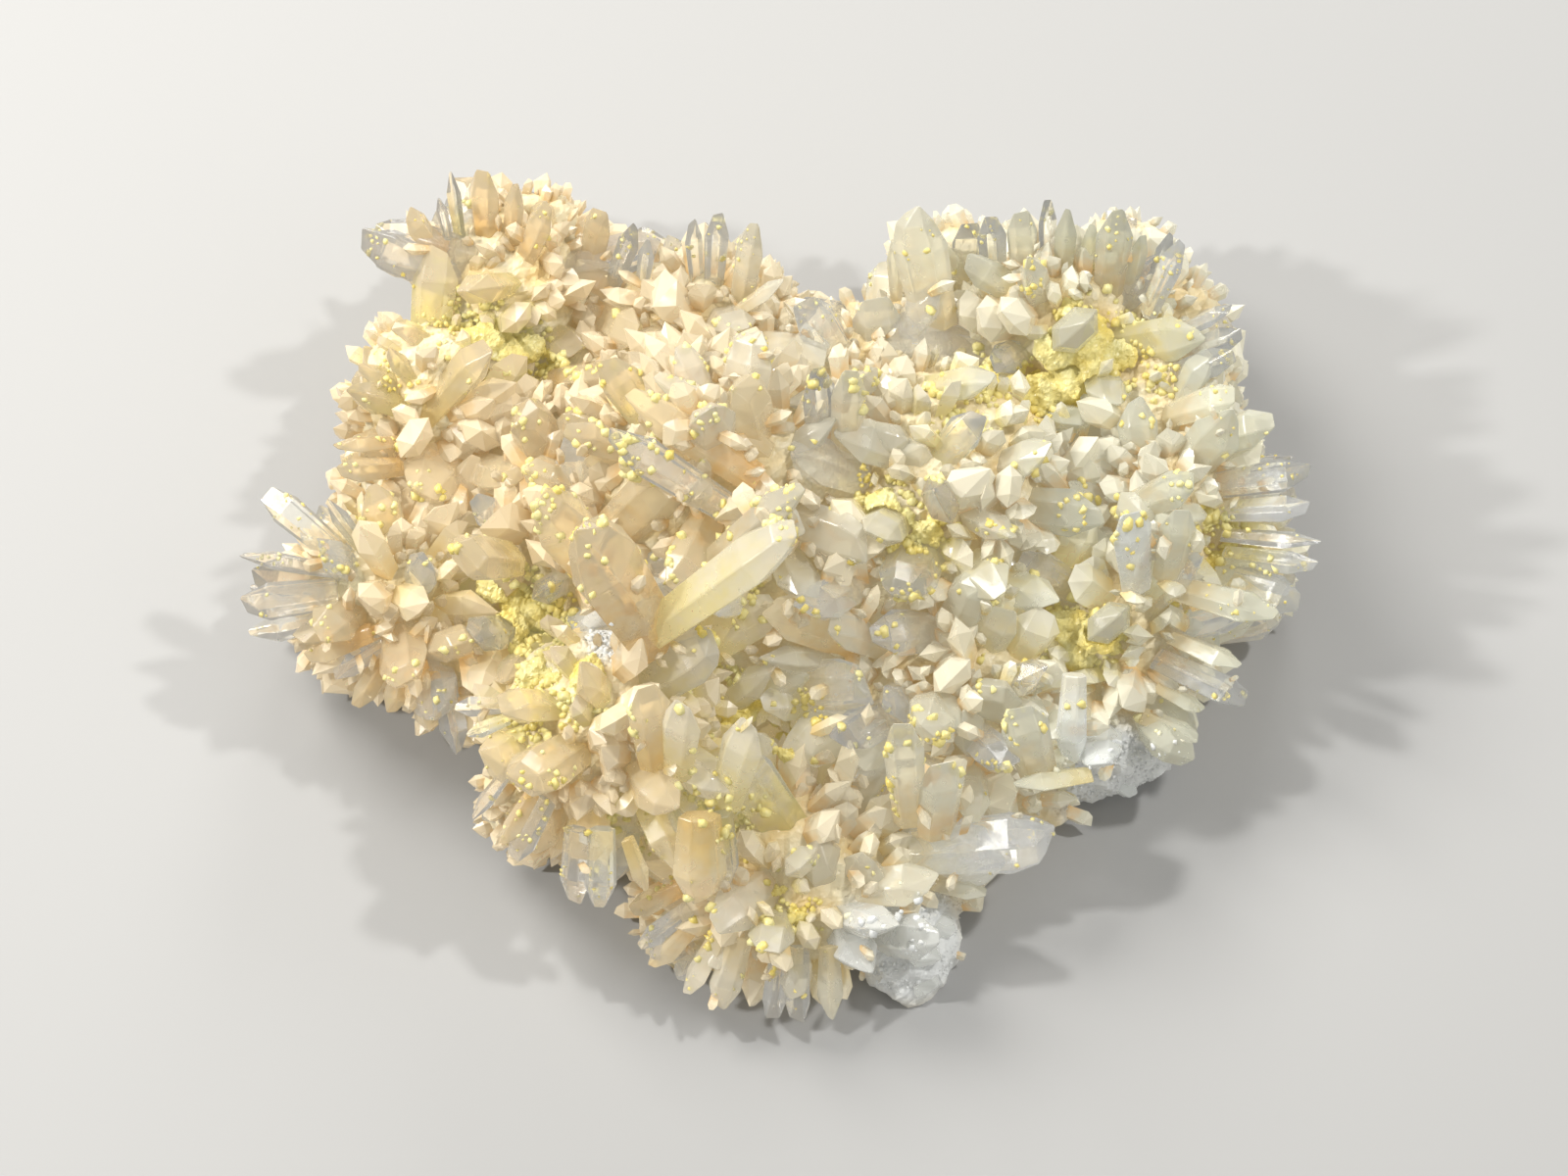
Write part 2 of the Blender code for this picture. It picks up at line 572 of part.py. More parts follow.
def near_part(cluster, lower, upper, tools):
    """The part of the cluster inside a box, as a mesh."""
    shape = bmesh.new()
    fit = Matrix.Translation((lower + upper) / 2.0) @ Matrix.Diagonal((*(upper - lower), 1.0))
    bmesh.ops.create_cube(shape, size=1.0, matrix=fit)
    box = new_object("near_box", finish_mesh("near_box", shape), tools)
    keep = box.modifiers.new("inside", "BOOLEAN")
    keep.operation = "INTERSECT"
    keep.object = cluster
    bpy.context.view_layer.update()
    mesh = bpy.data.meshes.new_from_object(box.evaluated_get(bpy.context.evaluated_depsgraph_get()))
    bpy.data.objects.remove(box, do_unlink=True)
    return mesh


def gap_cutters(name, mesh):
    """Copies of the crystals under a crust, moved a gap's width each way, which together keep it clear of them."""
    cutters = new_collection(name + "_gap", hidden=True)
    moves = [Vector((0.0, 0.0, 0.0)), view_heading()]
    moves += [Vector((math.cos(turn), math.sin(turn), 0.0)) for turn in (0.0, math.pi / 2, math.pi, -math.pi / 2)]
    for number, move in enumerate(moves):
        copy = new_object(f"{name}_gap_{number}", mesh, cutters)
        copy.location = move * CRUST_GAP * MM
    return cutters


def touches(obj, tree):
    """Whether an object's surface meets the crystals'."""
    shape = bmesh.new()
    shape.from_mesh(obj.data)
    found = tree.overlap(BVHTree.FromBMesh(shape))
    shape.free()
    return bool(found)


def simplify_clear(obj, lumps, tree):
    """Simplifies a crust as far as it can be without touching the crystals."""
    full = obj.data
    for triangles in CRUST_TRIANGLES_PER_LUMP:
        obj.data = full
        simplify(obj, triangles * lumps)
        obj.data = largest_body(obj.name, obj)
        if not touches(obj, tree):
            return
    obj.data = full


def build_crust(name, size, spots, tree, cluster, tools, collection, chance):
    """One patch of sulfur: lumps that touch each other, cut clear of the crystals under them."""
    pieces = new_collection(name + "_lumps", hidden=True)
    points = surface_points(spots, tree)
    for number, point in enumerate(points):
        radii = (size * chance.uniform(0.8, 1.15), size * chance.uniform(0.8, 1.15), size * chance.uniform(0.7, 0.95))
        lump = Lump(point - view_heading() * size * CRUST_SINK, radii)
        new_object(f"{name}_{number}", finish_mesh(name, add_lump(bmesh.new(), lump, chance)), pieces)
    reach = Vector((1.0, 1.0, 1.0)) * size * 1.5
    lower = Vector([min(point[i] for point in points) for i in range(3)]) - reach
    upper = Vector([max(point[i] for point in points) for i in range(3)]) + reach
    cutters = gap_cutters(name, near_part(cluster, lower * MM, upper * MM, tools))
    first = pieces.objects[0]
    pieces.objects.unlink(first)
    tools.objects.link(first)
    join = first.modifiers.new("grown_together", "BOOLEAN")
    join.operation = "UNION"
    join.operand_type = "COLLECTION"
    join.collection = pieces
    for cutter in cutters.objects:
        clear = first.modifiers.new(cutter.name, "BOOLEAN")
        clear.operation = "DIFFERENCE"
        clear.object = cutter
    bpy.context.view_layer.update()
    crust = new_object(name, largest_body(name, first), collection)
    simplify_clear(crust, len(spots), tree)
    return crust


def centre_over_origin(collection):
    """Moves everything so that the middle of the bounding box is over the origin."""
    points = [vert.co for obj in collection.objects for vert in obj.data.vertices]
    lower = Vector([min(point[i] for point in points) for i in range(3)])
    upper = Vector([max(point[i] for point in points) for i in range(3)])
    middle = (lower + upper) / 2.0
    for obj in collection.objects:
        obj.data.transform(Matrix.Translation((-middle.x, -middle.y, 0.0)))
    return middle


def main():
    clear_scene()
    collection = new_collection("sulfur_and_crystal_cluster")
    tools = new_collection("cutters", hidden=True)
    crystals = all_crystals()
    cluster = build_cluster(crystals, all_lumps(), collection, tools)
    cluster.data.materials.clear()
    cluster.data.materials.append(new_material("honey_crystal", (0.78, 0.66, 0.48), 0.25))
    sulfur = new_material("sulfur", (0.86, 0.77, 0.32), 0.55)
    shape = bmesh.new()
    shape.from_mesh(cluster.data)
    tree = BVHTree.FromBMesh(shape)
    shape.free()
    chance = random.Random(SEED + 2)
    for name, size, spots in SULFUR_CRUSTS:
        crust = build_crust(name, size, spots, tree, cluster, tools, collection, chance)
        crust.data.materials.clear()
        crust.data.materials.append(sulfur)
    middle = centre_over_origin(collection)
    print("moved by", -middle.x / MM, -middle.y / MM, "mm")
    print(len(crystals), "crystals,", len(cluster.data.polygons), "triangles in the cluster")


main()
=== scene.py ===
"""Finished look of honey and colourless crystals on white matrix, with crusts and grains of sulfur.

The layout repeats the solid's. A point is (across, down, height). Across and down are tenths of a
millimetre on a display sheet of 160 x 120 mm, seen from the front and above. Height is in millimetres.
"""

import json
import logging
import math
import random
from collections.abc import Callable, Iterator, Sequence
from dataclasses import dataclass, field
from enum import Enum

import bmesh
import bpy
import numpy as np
from mathutils import Matrix, Vector, noise
from mathutils.bvhtree import BVHTree

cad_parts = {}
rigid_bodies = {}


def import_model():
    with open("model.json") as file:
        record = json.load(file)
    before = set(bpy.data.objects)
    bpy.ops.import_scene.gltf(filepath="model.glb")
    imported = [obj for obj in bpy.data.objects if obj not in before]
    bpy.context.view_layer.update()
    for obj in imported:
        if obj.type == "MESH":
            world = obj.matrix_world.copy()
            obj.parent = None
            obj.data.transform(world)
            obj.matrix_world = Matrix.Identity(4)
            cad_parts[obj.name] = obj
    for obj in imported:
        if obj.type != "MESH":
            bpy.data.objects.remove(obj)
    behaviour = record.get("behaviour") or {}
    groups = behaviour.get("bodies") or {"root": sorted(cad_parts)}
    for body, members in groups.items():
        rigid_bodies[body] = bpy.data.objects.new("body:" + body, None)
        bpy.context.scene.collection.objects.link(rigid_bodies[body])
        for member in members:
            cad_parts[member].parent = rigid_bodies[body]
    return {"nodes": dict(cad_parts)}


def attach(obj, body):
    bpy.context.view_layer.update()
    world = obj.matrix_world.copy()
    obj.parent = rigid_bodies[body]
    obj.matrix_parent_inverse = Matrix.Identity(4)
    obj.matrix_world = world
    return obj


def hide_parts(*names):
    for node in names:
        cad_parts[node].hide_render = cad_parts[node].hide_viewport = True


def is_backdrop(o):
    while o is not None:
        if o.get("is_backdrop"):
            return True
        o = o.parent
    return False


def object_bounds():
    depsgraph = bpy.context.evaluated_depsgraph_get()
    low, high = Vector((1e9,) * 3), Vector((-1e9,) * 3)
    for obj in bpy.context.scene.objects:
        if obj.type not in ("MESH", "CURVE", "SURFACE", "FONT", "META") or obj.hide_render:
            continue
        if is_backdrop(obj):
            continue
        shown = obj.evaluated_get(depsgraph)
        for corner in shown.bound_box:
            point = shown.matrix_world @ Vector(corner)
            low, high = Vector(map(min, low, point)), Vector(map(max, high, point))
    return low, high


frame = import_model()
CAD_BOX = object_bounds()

LOG = logging.getLogger("sulfur_cluster")
MM = 0.001
SEED = 7
# How far the whole layout is moved so that the middle of its box is over the origin, in millimetres.
MOVED_BY = Vector((0.34147, -4.05782, 0.0))

# Crystals round the rim: tip (across, down, height), base (across, down, height), width, bluntness.
RIM_CRYSTALS = (
    (370, 240, 24, 470, 290, 18, 4.6, 0.6),
    (418, 215, 25, 450, 262, 19, 3.2, 0.6),
    (448, 202, 26, 458, 245, 21, 1.4, 0.1),
    (460, 175, 26, 470, 245, 20, 1.7, 0.1),
    (493, 174, 27, 497, 255, 18, 3.6, 0.5),
    (528, 188, 27, 522, 260, 19, 2.6, 0.3),
    (559, 207, 27, 530, 278, 18, 3.3, 0.4),
    (614, 215, 22, 600, 290, 14, 3.6, 0.8),
    (647, 229, 24, 625, 290, 16, 2.6, 0.3),
    (662, 245, 24, 655, 295, 16, 2.0, 0.2),
    (708, 225, 26, 712, 295, 17, 2.2, 0.5),
    (734, 218, 27, 728, 300, 17, 2.7, 0.5),
    (772, 229, 28, 755, 312, 18, 3.6, 0.3),
    (800, 285, 26, 752, 318, 20, 2.4, 0.1),
    (838, 305, 17, 840, 385, 10, 6.0, 0.9),
    (895, 304, 22, 895, 385, 13, 5.2, 0.7),
    (913, 243, 23, 915, 315, 15, 1.8, 0.3),
    (934, 213, 30, 955, 332, 18, 6.0, 0.2),
    (990, 228, 22, 985, 305, 14, 3.6, 0.7),
    (1010, 221, 27, 1015, 292, 18, 3.2, 0.5),
    (1043, 216, 27, 1045, 292, 18, 3.3, 0.7),
    (1068, 204, 28, 1068, 284, 19, 2.2, 0.5),
    (1089, 213, 28, 1083, 292, 19, 2.5, 0.2),
    (1113, 229, 26, 1108, 292, 18, 2.1, 0.4),
    (1142, 214, 29, 1130, 302, 19, 4.0, 0.3),
    (1168, 240, 26, 1150, 302, 18, 2.1, 0.4),
    (1194, 238, 27, 1172, 302, 18, 2.1, 0.3),
    (1206, 247, 28, 1170, 322, 19, 3.1, 0.4),
    (1256, 314, 24, 1190, 345, 18, 3.0, 0.5),
    (1267, 340, 23, 1195, 367, 18, 3.0, 0.5),
    (1260, 364, 24, 1185, 387, 18, 3.2, 0.5),
    (1260, 402, 24, 1190, 424, 18, 3.8, 0.6),
    (1300, 429, 24, 1218, 458, 18, 4.4, 0.4),
    (1336, 477, 24, 1240, 496, 18, 3.6, 0.4),
    (1335, 517, 22, 1240, 522, 17, 3.1, 0.6),
    (1347, 553, 21, 1248, 546, 16, 2.8, 0.1),
    (1343, 575, 19, 1248, 566, 15, 2.6, 0.5),
    (1325, 617, 16, 1240, 588, 13, 4.4, 0.5),
    (1303, 627, 21, 1200, 600, 17, 4.0, 0.3),
    (1265, 680, 17, 1196, 650, 14, 3.2, 0.3),
    (1270, 716, 15, 1180, 672, 13, 4.0, 0.7),
    (1228, 724, 12, 1180, 700, 12, 2.4, 0.6),
    (1222, 755, 11, 1165, 730, 11, 3.0, 0.5),
    (1072, 851, 12, 930, 868, 9, 7.0, 0.5),
    (1007, 911, 8, 945, 898, 8, 3.0, 0.4),
    (850, 1040, 4, 846, 965, 9, 2.8, 0.1),
    (815, 1041, 4, 816, 965, 9, 2.8, 0.8),
    (788, 1039, 4, 796, 962, 9, 2.6, 0.8),
    (736, 1028, 5, 756, 955, 9, 3.4, 0.5),
    (699, 1013, 5, 735, 950, 9, 3.0, 0.4),
    (663, 985, 6, 710, 938, 9, 2.8, 0.3),
    (652, 966, 7, 704, 926, 10, 2.4, 0.4),
    (643, 928, 9, 695, 905, 11, 3.0, 0.5),
    (660, 909, 15, 640, 855, 19, 2.2, 0.2),
    (612, 926, 13, 615, 845, 19, 3.4, 0.3),
    (588, 921, 13, 588, 845, 19, 3.4, 0.5),
    (524, 876, 16, 558, 815, 20, 3.2, 0.6),
    (511, 860, 17, 545, 808, 20, 2.4, 0.4),
    (483, 836, 18, 522, 782, 20, 2.2, 0.1),
    (489, 766, 19, 535, 745, 20, 2.2, 0.3),
    (476, 750, 20, 520, 733, 21, 1.8, 0.2),
    (464, 722, 20, 515, 720, 20, 2.2, 0.3),
    (466, 768, 13, 453, 695, 14, 3.2, 0.2),
    (441, 744, 12, 440, 685, 14, 2.4, 0.4),
    (422, 724, 12, 424, 675, 14, 2.4, 0.5),
    (398, 727, 12, 412, 675, 14, 2.6, 0.5),
    (362, 721, 12, 396, 670, 14, 2.6, 0.5),
    (342, 690, 13, 392, 655, 15, 2.8, 0.5),
    (312, 669, 14, 380, 645, 16, 3.2, 0.5),
    (254, 645, 15, 345, 628, 16, 3.2, 0.1),
    (248, 614, 17, 345, 605, 17, 4.2, 0.5),
    (246, 568, 19, 345, 584, 17, 2.8, 0.1),
    (272, 503, 21, 352, 570, 18, 3.6, 0.7),
    (335, 509, 22, 375, 565, 18, 2.0, 0.1),
    (345, 480, 22, 410, 476, 18, 3.0, 0.5),
    (341, 455, 22, 410, 450, 18, 2.6, 0.3),
    (355, 398, 22, 420, 420, 18, 3.0, 0.3),
    (366, 373, 22, 425, 403, 18, 2.6, 0.4),
    (397, 357, 23, 435, 400, 19, 2.4, 0.5),
    (401, 335, 22, 452, 352, 18, 3.0, 0.5),
)

# The large crystals that stand out inside the rim, in the same form.
INNER_CRYSTALS = (
    (590, 540, 40, 668, 652, 25, 9.5, 0.1),
    (553, 505, 36, 618, 590, 22, 6.5, 0.3),
    (640, 402, 35, 772, 490, 27, 4.4, 0.3),
    (668, 384, 34, 784, 462, 26, 3.8, 0.3),
    (622, 440, 36, 744, 520, 27, 4.2, 0.3),
    (752, 396, 33, 780, 470, 22, 6.6, 0.5),
    (832, 376, 34, 838, 460, 22, 3.8, 0.4),
    (866, 378, 34, 862, 466, 22, 3.8, 0.5),
    (812, 538, 40, 668, 642, 27, 6.4, 0.3),
    (820, 500, 37, 730, 570, 25, 4.6, 0.3),
    (474, 566, 33, 520, 570, 18, 6.0, 0.8),
    (918, 738, 27, 928, 838, 12, 4.2, 0.6),
    (962, 778, 20, 955, 850, 11, 5.2, 0.6),
    (1095, 777, 14, 1096, 688, 20, 3.4, 0.7),
    (1034, 800, 16, 1112, 790, 14, 3.2, 0.1),
    (711, 920, 14, 714, 832, 21, 5.6, 0.1),
    (737, 906, 13, 735, 830, 20, 3.4, 0.4),
    (1150, 525, 28, 1160, 600, 18, 4.6, 0.7),
    (1206, 520, 26, 1190, 590, 18, 4.0, 0.5),
    (1218, 488, 26, 1150, 520, 20, 4.2, 0.5),
    (1038, 722, 22, 1060, 790, 14, 5.0, 0.6),
    (600, 640, 30, 672, 600, 22, 5.0, 0.3),
    (660, 700, 31, 670, 780, 22, 4.6, 0.5),
    (694, 716, 31, 690, 790, 21, 4.4, 0.4),
    (762, 735, 28, 740, 820, 18, 4.6, 0.5),
)

# Broad crystals that fill the ground between the large ones, in the same form.
FILL_CRYSTALS = (
    (530, 430, 24, 575, 470, 14, 6.5, 0.5),
    (592, 425, 25, 602, 475, 14, 6.0, 0.3),
    (545, 482, 23, 590, 492, 14, 6.0, 0.6),
    (620, 455, 26, 625, 500, 16, 5.5, 0.4),
    (898, 440, 26, 905, 480, 16, 6.5, 0.5),
    (938, 455, 25, 925, 500, 16, 5.5, 0.3),
    (1160, 520, 23, 1175, 560, 12, 6.5, 0.6),
    (1198, 528, 23, 1190, 575, 12, 5.5, 0.5),
    (1015, 700, 18, 1015, 745, 8, 6.0, 0.5),
    (982, 730, 17, 1000, 770, 8, 5.0, 0.3),
    (835, 862, 13, 850, 900, 6, 6.0, 0.5),
    (882, 872, 13, 870, 915, 5, 5.0, 0.3),
    (768, 748, 17, 772, 790, 9, 5.0, 0.4),
)

# Points deep in the matrix that the crystals radiate from.
SPRAY_CENTRES = (
    (530, 305, 12),
    (450, 430, 12),
    (725, 330, 11),
    (885, 420, 12),
    (1075, 350, 13),
    (1160, 510, 12),
    (1130, 650, 8),
    (410, 605, 11),
    (640, 740, 14),
    (810, 900, 4),
    (740, 520, 14),
    (960, 520, 13),
    (970, 700, 6),
    (570, 600, 12),
)

# The whole piece's outline on the display sheet, which no planted crystal's tip passes.
OUTLINE = (
    (375, 235), (400, 225), (450, 215), (465, 185), (495, 178), (530, 195), (560, 212), (600, 222),
    (640, 235), (665, 250), (710, 228), (740, 225), (770, 235), (768, 280), (798, 288), (810, 308),
    (862, 322), (900, 308), (912, 265), (934, 222), (965, 245), (1000, 228), (1060, 212), (1100, 225),
    (1150, 220), (1200, 245), (1200, 300), (1250, 316), (1262, 345), (1255, 400), (1295, 428), (1290, 456),
    (1330, 472), (1325, 515), (1340, 555), (1330, 580), (1322, 612), (1300, 626), (1245, 645), (1262, 680),
    (1265, 715), (1225, 722), (1215, 765), (1185, 795), (1100, 808), (1065, 830), (1065, 858), (1000, 890),
    (990, 920), (962, 960), (945, 1010), (870, 1005), (848, 1030), (800, 1030), (740, 1022), (690, 1000),
    (660, 970), (648, 930), (650, 900), (625, 900), (600, 920), (580, 890), (530, 872), (495, 830),
    (500, 780), (470, 728), (450, 745), (400, 722), (350, 700), (310, 666), (262, 645), (252, 610),
    (260, 568), (310, 562), (280, 508), (335, 520), (352, 505), (345, 450), (360, 390), (400, 360),
    (405, 335), (432, 315), (400, 275),
)

# White matrix under the sprays: centre, then half sizes in millimetres.
MATRIX_LUMPS = (
    ((800, 540, 5), (38.0, 25.0, 17.0)),
    ((520, 310, 9), (10.0, 9.5, 12.0)),
    ((440, 420, 9), (8.0, 9.0, 12.0)),
    ((715, 350, 7), (12.0, 8.0, 12.0)),
    ((900, 400, 7), (12.0, 9.0, 12.0)),
    ((1075, 350, 9), (11.0, 9.0, 13.0)),
    ((1170, 430, 8), (9.5, 10.0, 12.0)),
    ((1190, 530, 8), (9.5, 9.0, 12.0)),
    ((1140, 650, 5), (9.5, 9.0, 11.0)),
    ((390, 610, 8), (9.0, 8.5, 10.0)),
    ((620, 750, 11), (11.5, 10.5, 13.0)),
    ((810, 890, 3), (12.0, 10.5, 9.0)),
    ((730, 500, 14), (15.0, 13.0, 14.0)),
    ((960, 500, 12), (14.0, 13.0, 12.0)),
    ((960, 690, 6), (14.0, 14.0, 10.0)),
    ((1105, 755, 4), (9.5, 6.0, 7.0)),
    ((925, 950, 1), (5.5, 7.5, 6.0)),
    ((392, 520, 6), (4.5, 5.0, 9.0)),
    ((500, 690, 6), (7.0, 5.5, 9.0)),
    ((555, 815, 9), (6.0, 5.0, 9.0)),
    ((715, 935, 1), (6.5, 6.0, 6.0)),
    ((1025, 815, 2), (7.0, 4.5, 6.0)),
    ((940, 890, 1), (6.0, 6.0, 6.0)),
    ((1265, 580, 6), (4.5, 5.0, 8.0)),
    ((1190, 345, 9), (6.0, 5.0, 10.0)),
    ((550, 265, 9), (6.5, 5.0, 11.0)),
    ((1140, 290, 10), (6.5, 5.0, 11.0)),
    ((975, 290, 9), (6.5, 5.0, 10.0)),
    ((860, 800, 3), (8.0, 6.0, 8.0)),
)

# Where sulfur grains gather: across, down, reach in tenths of a millimetre, and how thickly.
SULFUR_PATCHES = (
    (455, 318, 40, 0.9),
    (495, 335, 42, 1.0),
    (530, 352, 42, 1.0),
    (510, 372, 36, 0.8),
    (478, 193, 16, 1.2),
    (398, 385, 26, 0.9),
    (372, 550, 26, 0.5),
    (440, 600, 36, 0.4),
    (500, 560, 26, 0.5),
    (520, 612, 40, 1.0),
    (548, 632, 36, 0.9),
    (555, 690, 40, 1.0),
    (590, 705, 36, 0.9),
    (580, 725, 24, 0.7),
    (530, 752, 30, 1.0),
    (640, 850, 36, 0.6),
    (705, 702, 44, 0.6),
    (745, 722, 48, 0.7),
    (730, 780, 50, 0.5),
    (745, 825, 46, 1.0),
    (700, 840, 34, 0.7),
    (822, 722, 20, 1.0),
    (815, 750, 18, 1.0),
    (745, 612, 34, 0.7),
    (780, 590, 34, 0.5),
    (640, 405, 14, 0.7),
    (670, 505, 14, 0.6),
    (990, 280, 30, 0.5),
    (1108, 240, 18, 0.9),
    (1000, 400, 46, 0.8),
    (1050, 400, 44, 0.9),
    (1100, 380, 48, 1.1),
    (1110, 345, 40, 1.1),
    (1160, 365, 44, 0.9),
    (965, 425, 38, 0.8),
    (905, 520, 34, 0.8),
    (940, 545, 38, 1.0),
    (895, 488, 18, 0.7),
    (1085, 595, 40, 0.7),
    (1020, 605, 24, 0.6),
    (1035, 665, 36, 0.6),
    (1105, 655, 38, 1.1),
    (1250, 552, 34, 1.0),
    (1270, 575, 26, 0.8),
    (1180, 610, 34, 0.5),
    (1095, 790, 24, 0.7),
    (812, 925, 34, 0.8),
    (830, 975, 26, 0.5),
    (900, 860, 20, 0.4),
)

# The display view: tilt above the horizon, distance and height of its target in millimetres.
VIEW_TILT = math.radians(65.0)
VIEW_DISTANCE = 444.0
VIEW_TARGET_HEIGHT = 15.0
SHEET_CENTRE = (800.0, 600.0)
SHEET_UNITS_PER_MM = 10.0

# Sides of a crystal's flattened hexagon, as shares of half its width and half its thickness.
HEXAGON = ((1.0, 0.0), (0.5, 1.0), (-0.5, 1.0), (-1.0, 0.0), (-0.5, -1.0), (0.5, -1.0))
RHOMB = ((1.0, 0.1), (-0.1, 1.0), (-1.0, -0.1), (0.1, -1.0))
RHOMB_WIDTH = 3.3
THICKNESS_SHARE = 0.58
BASE_SHARE = 0.78
SHOULDER_AT = 0.66
NECK_AT = 0.88
NECK_WIDTH = 5.5
# A crystal's ring and ridge: the size of a pointed one, and what bluntness adds.
SHOULDER_RISE = 0.12
NECK_RISE = 0.05
NECK_SIZE = (0.62, 0.26)
RIDGE_SIZE = (0.16, 0.5)
NAMED_ROLL = 0.45
NAMED_SKEW = 0.22

# Crystals planted over the matrix between the large ones.
PLANT_SPACING = 61.0
PLANT_LENGTH = (8.5, 12.5)
PLANT_SLIMNESS = (0.40, 0.55)
PLANT_DEPTH = 4.0
PLANT_LEAN = 0.35
PLANT_RISE = (0.15, 1.0)
PLANT_OUTWARD = 0.35
PLANT_BLUNT = (0.1, 0.8)
PLANT_ROLL = 0.8
PLANT_SKEW = 0.25
WIDEST_PLANT = 0.8
PLANT_STEP = 0.5
PLANT_FROM = (220, 160)
PLANT_SHEET = (1200, 1000)
PLANT_JITTER = 0.3
LOWEST_ROOT = 2.0
FLANK_HEIGHTS = (4.5, 9.5, 14.5)
FLANK_COUNT = 25
FLANK_START = (90.0, 80.0)
FLANK_TURN = 0.05
FLANK_SHIFT = 1.5
SHORTEST_PLANT = 5.0
PLANT_UPRIGHT_WITHIN = 7.0
LOWEST_TIP = 1.0


class Look(Enum):
    """How clear one crystal is."""

    HONEY = "honey"
    MILKY = "milky"
    CLEAR = "clear"
    FROSTED = "frosted"


@dataclass(frozen=True)
class Crystal:
    """One spear-shaped crystal, in millimetres.

    Attributes:
        tip: Its free end.
        base: Its end inside the matrix.
        width: How wide it is across its flat.
        blunt: How wide its end is, from 0 for a point to 1 for a chisel.
        roll: How far it is turned about its length, in radians.
        skew: How far its end leans sideways, as a share of half its width.
    """

    tip: Vector
    base: Vector
    width: float
    blunt: float
    roll: float
    skew: float

    @property
    def length(self) -> float:
        """How long the crystal is from base to tip."""
        return (self.tip - self.base).length

    def frame(self) -> tuple[Vector, Vector, Vector]:
        """Finds the directions along the crystal, across its flat and out of its flat.

        Returns:
            The three directions, each of length one.
        """
        axis = (self.tip - self.base).normalized()
        side = axis.cross(Vector((0.0, 0.0, 1.0)))
        if side.length < 0.2:
            side = axis.cross(Vector((0.0, 1.0, 0.0)))
        side = (Matrix.Rotation(self.roll, 3, axis) @ side).normalized()
        return axis, side, axis.cross(side)


@dataclass(frozen=True)
class Lump:
    """One rounded mass of white matrix.

    Attributes:
        centre: Its middle, in millimetres.
        radii: Its half sizes along X, Y and Z, in millimetres.
    """

    centre: Vector
    radii: tuple[float, float, float]


def from_sheet(across: float, down: float, height: float) -> Vector:
    """Finds the point at a height that is seen at a place on the display sheet.

    Args:
        across: Place from the sheet's left, in tenths of a millimetre.
        down: Place from the sheet's top, in tenths of a millimetre.
        height: Height above the flat cut, in millimetres.

    Returns:
        The point in millimetres.
    """
    right = (across - SHEET_CENTRE[0]) / (SHEET_UNITS_PER_MM * VIEW_DISTANCE)
    up = (SHEET_CENTRE[1] - down) / (SHEET_UNITS_PER_MM * VIEW_DISTANCE)
    sine = math.sin(VIEW_TILT)
    cosine = math.cos(VIEW_TILT)
    rise = height - VIEW_TARGET_HEIGHT
    back = (up * VIEW_DISTANCE - rise * (cosine + up * sine)) / (sine - up * cosine)
    depth = VIEW_DISTANCE + back * cosine - rise * sine
    return Vector((right * depth, back, height))


def on_sheet(point: Vector) -> tuple[float, float]:
    """Finds where a point is seen on the display sheet.

    Args:
        point: A point in millimetres.

    Returns:
        Its places across and down the sheet.
    """
    sine = math.sin(VIEW_TILT)
    cosine = math.cos(VIEW_TILT)
    rise = point.z - VIEW_TARGET_HEIGHT
    depth = VIEW_DISTANCE + point.y * cosine - rise * sine
    scale = SHEET_UNITS_PER_MM * VIEW_DISTANCE / depth
    up = point.y * sine + rise * cosine
    return SHEET_CENTRE[0] + point.x * scale, SHEET_CENTRE[1] - up * scale


def inside_outline(point: Vector) -> bool:
    """Tells whether the display view shows a point inside the outline.

    Args:
        point: A point in millimetres.

    Returns:
        Whether a row through the point crosses an odd number of the outline's sides on one side of it.
    """
    across, down = on_sheet(point)
    inside = False
    for (x0, y0), (x1, y1) in zip(OUTLINE, OUTLINE[1:] + OUTLINE[:1]):
        if (y0 > down) != (y1 > down) and across < x0 + (down - y0) * (x1 - x0) / (y1 - y0):
            inside = not inside
    return inside


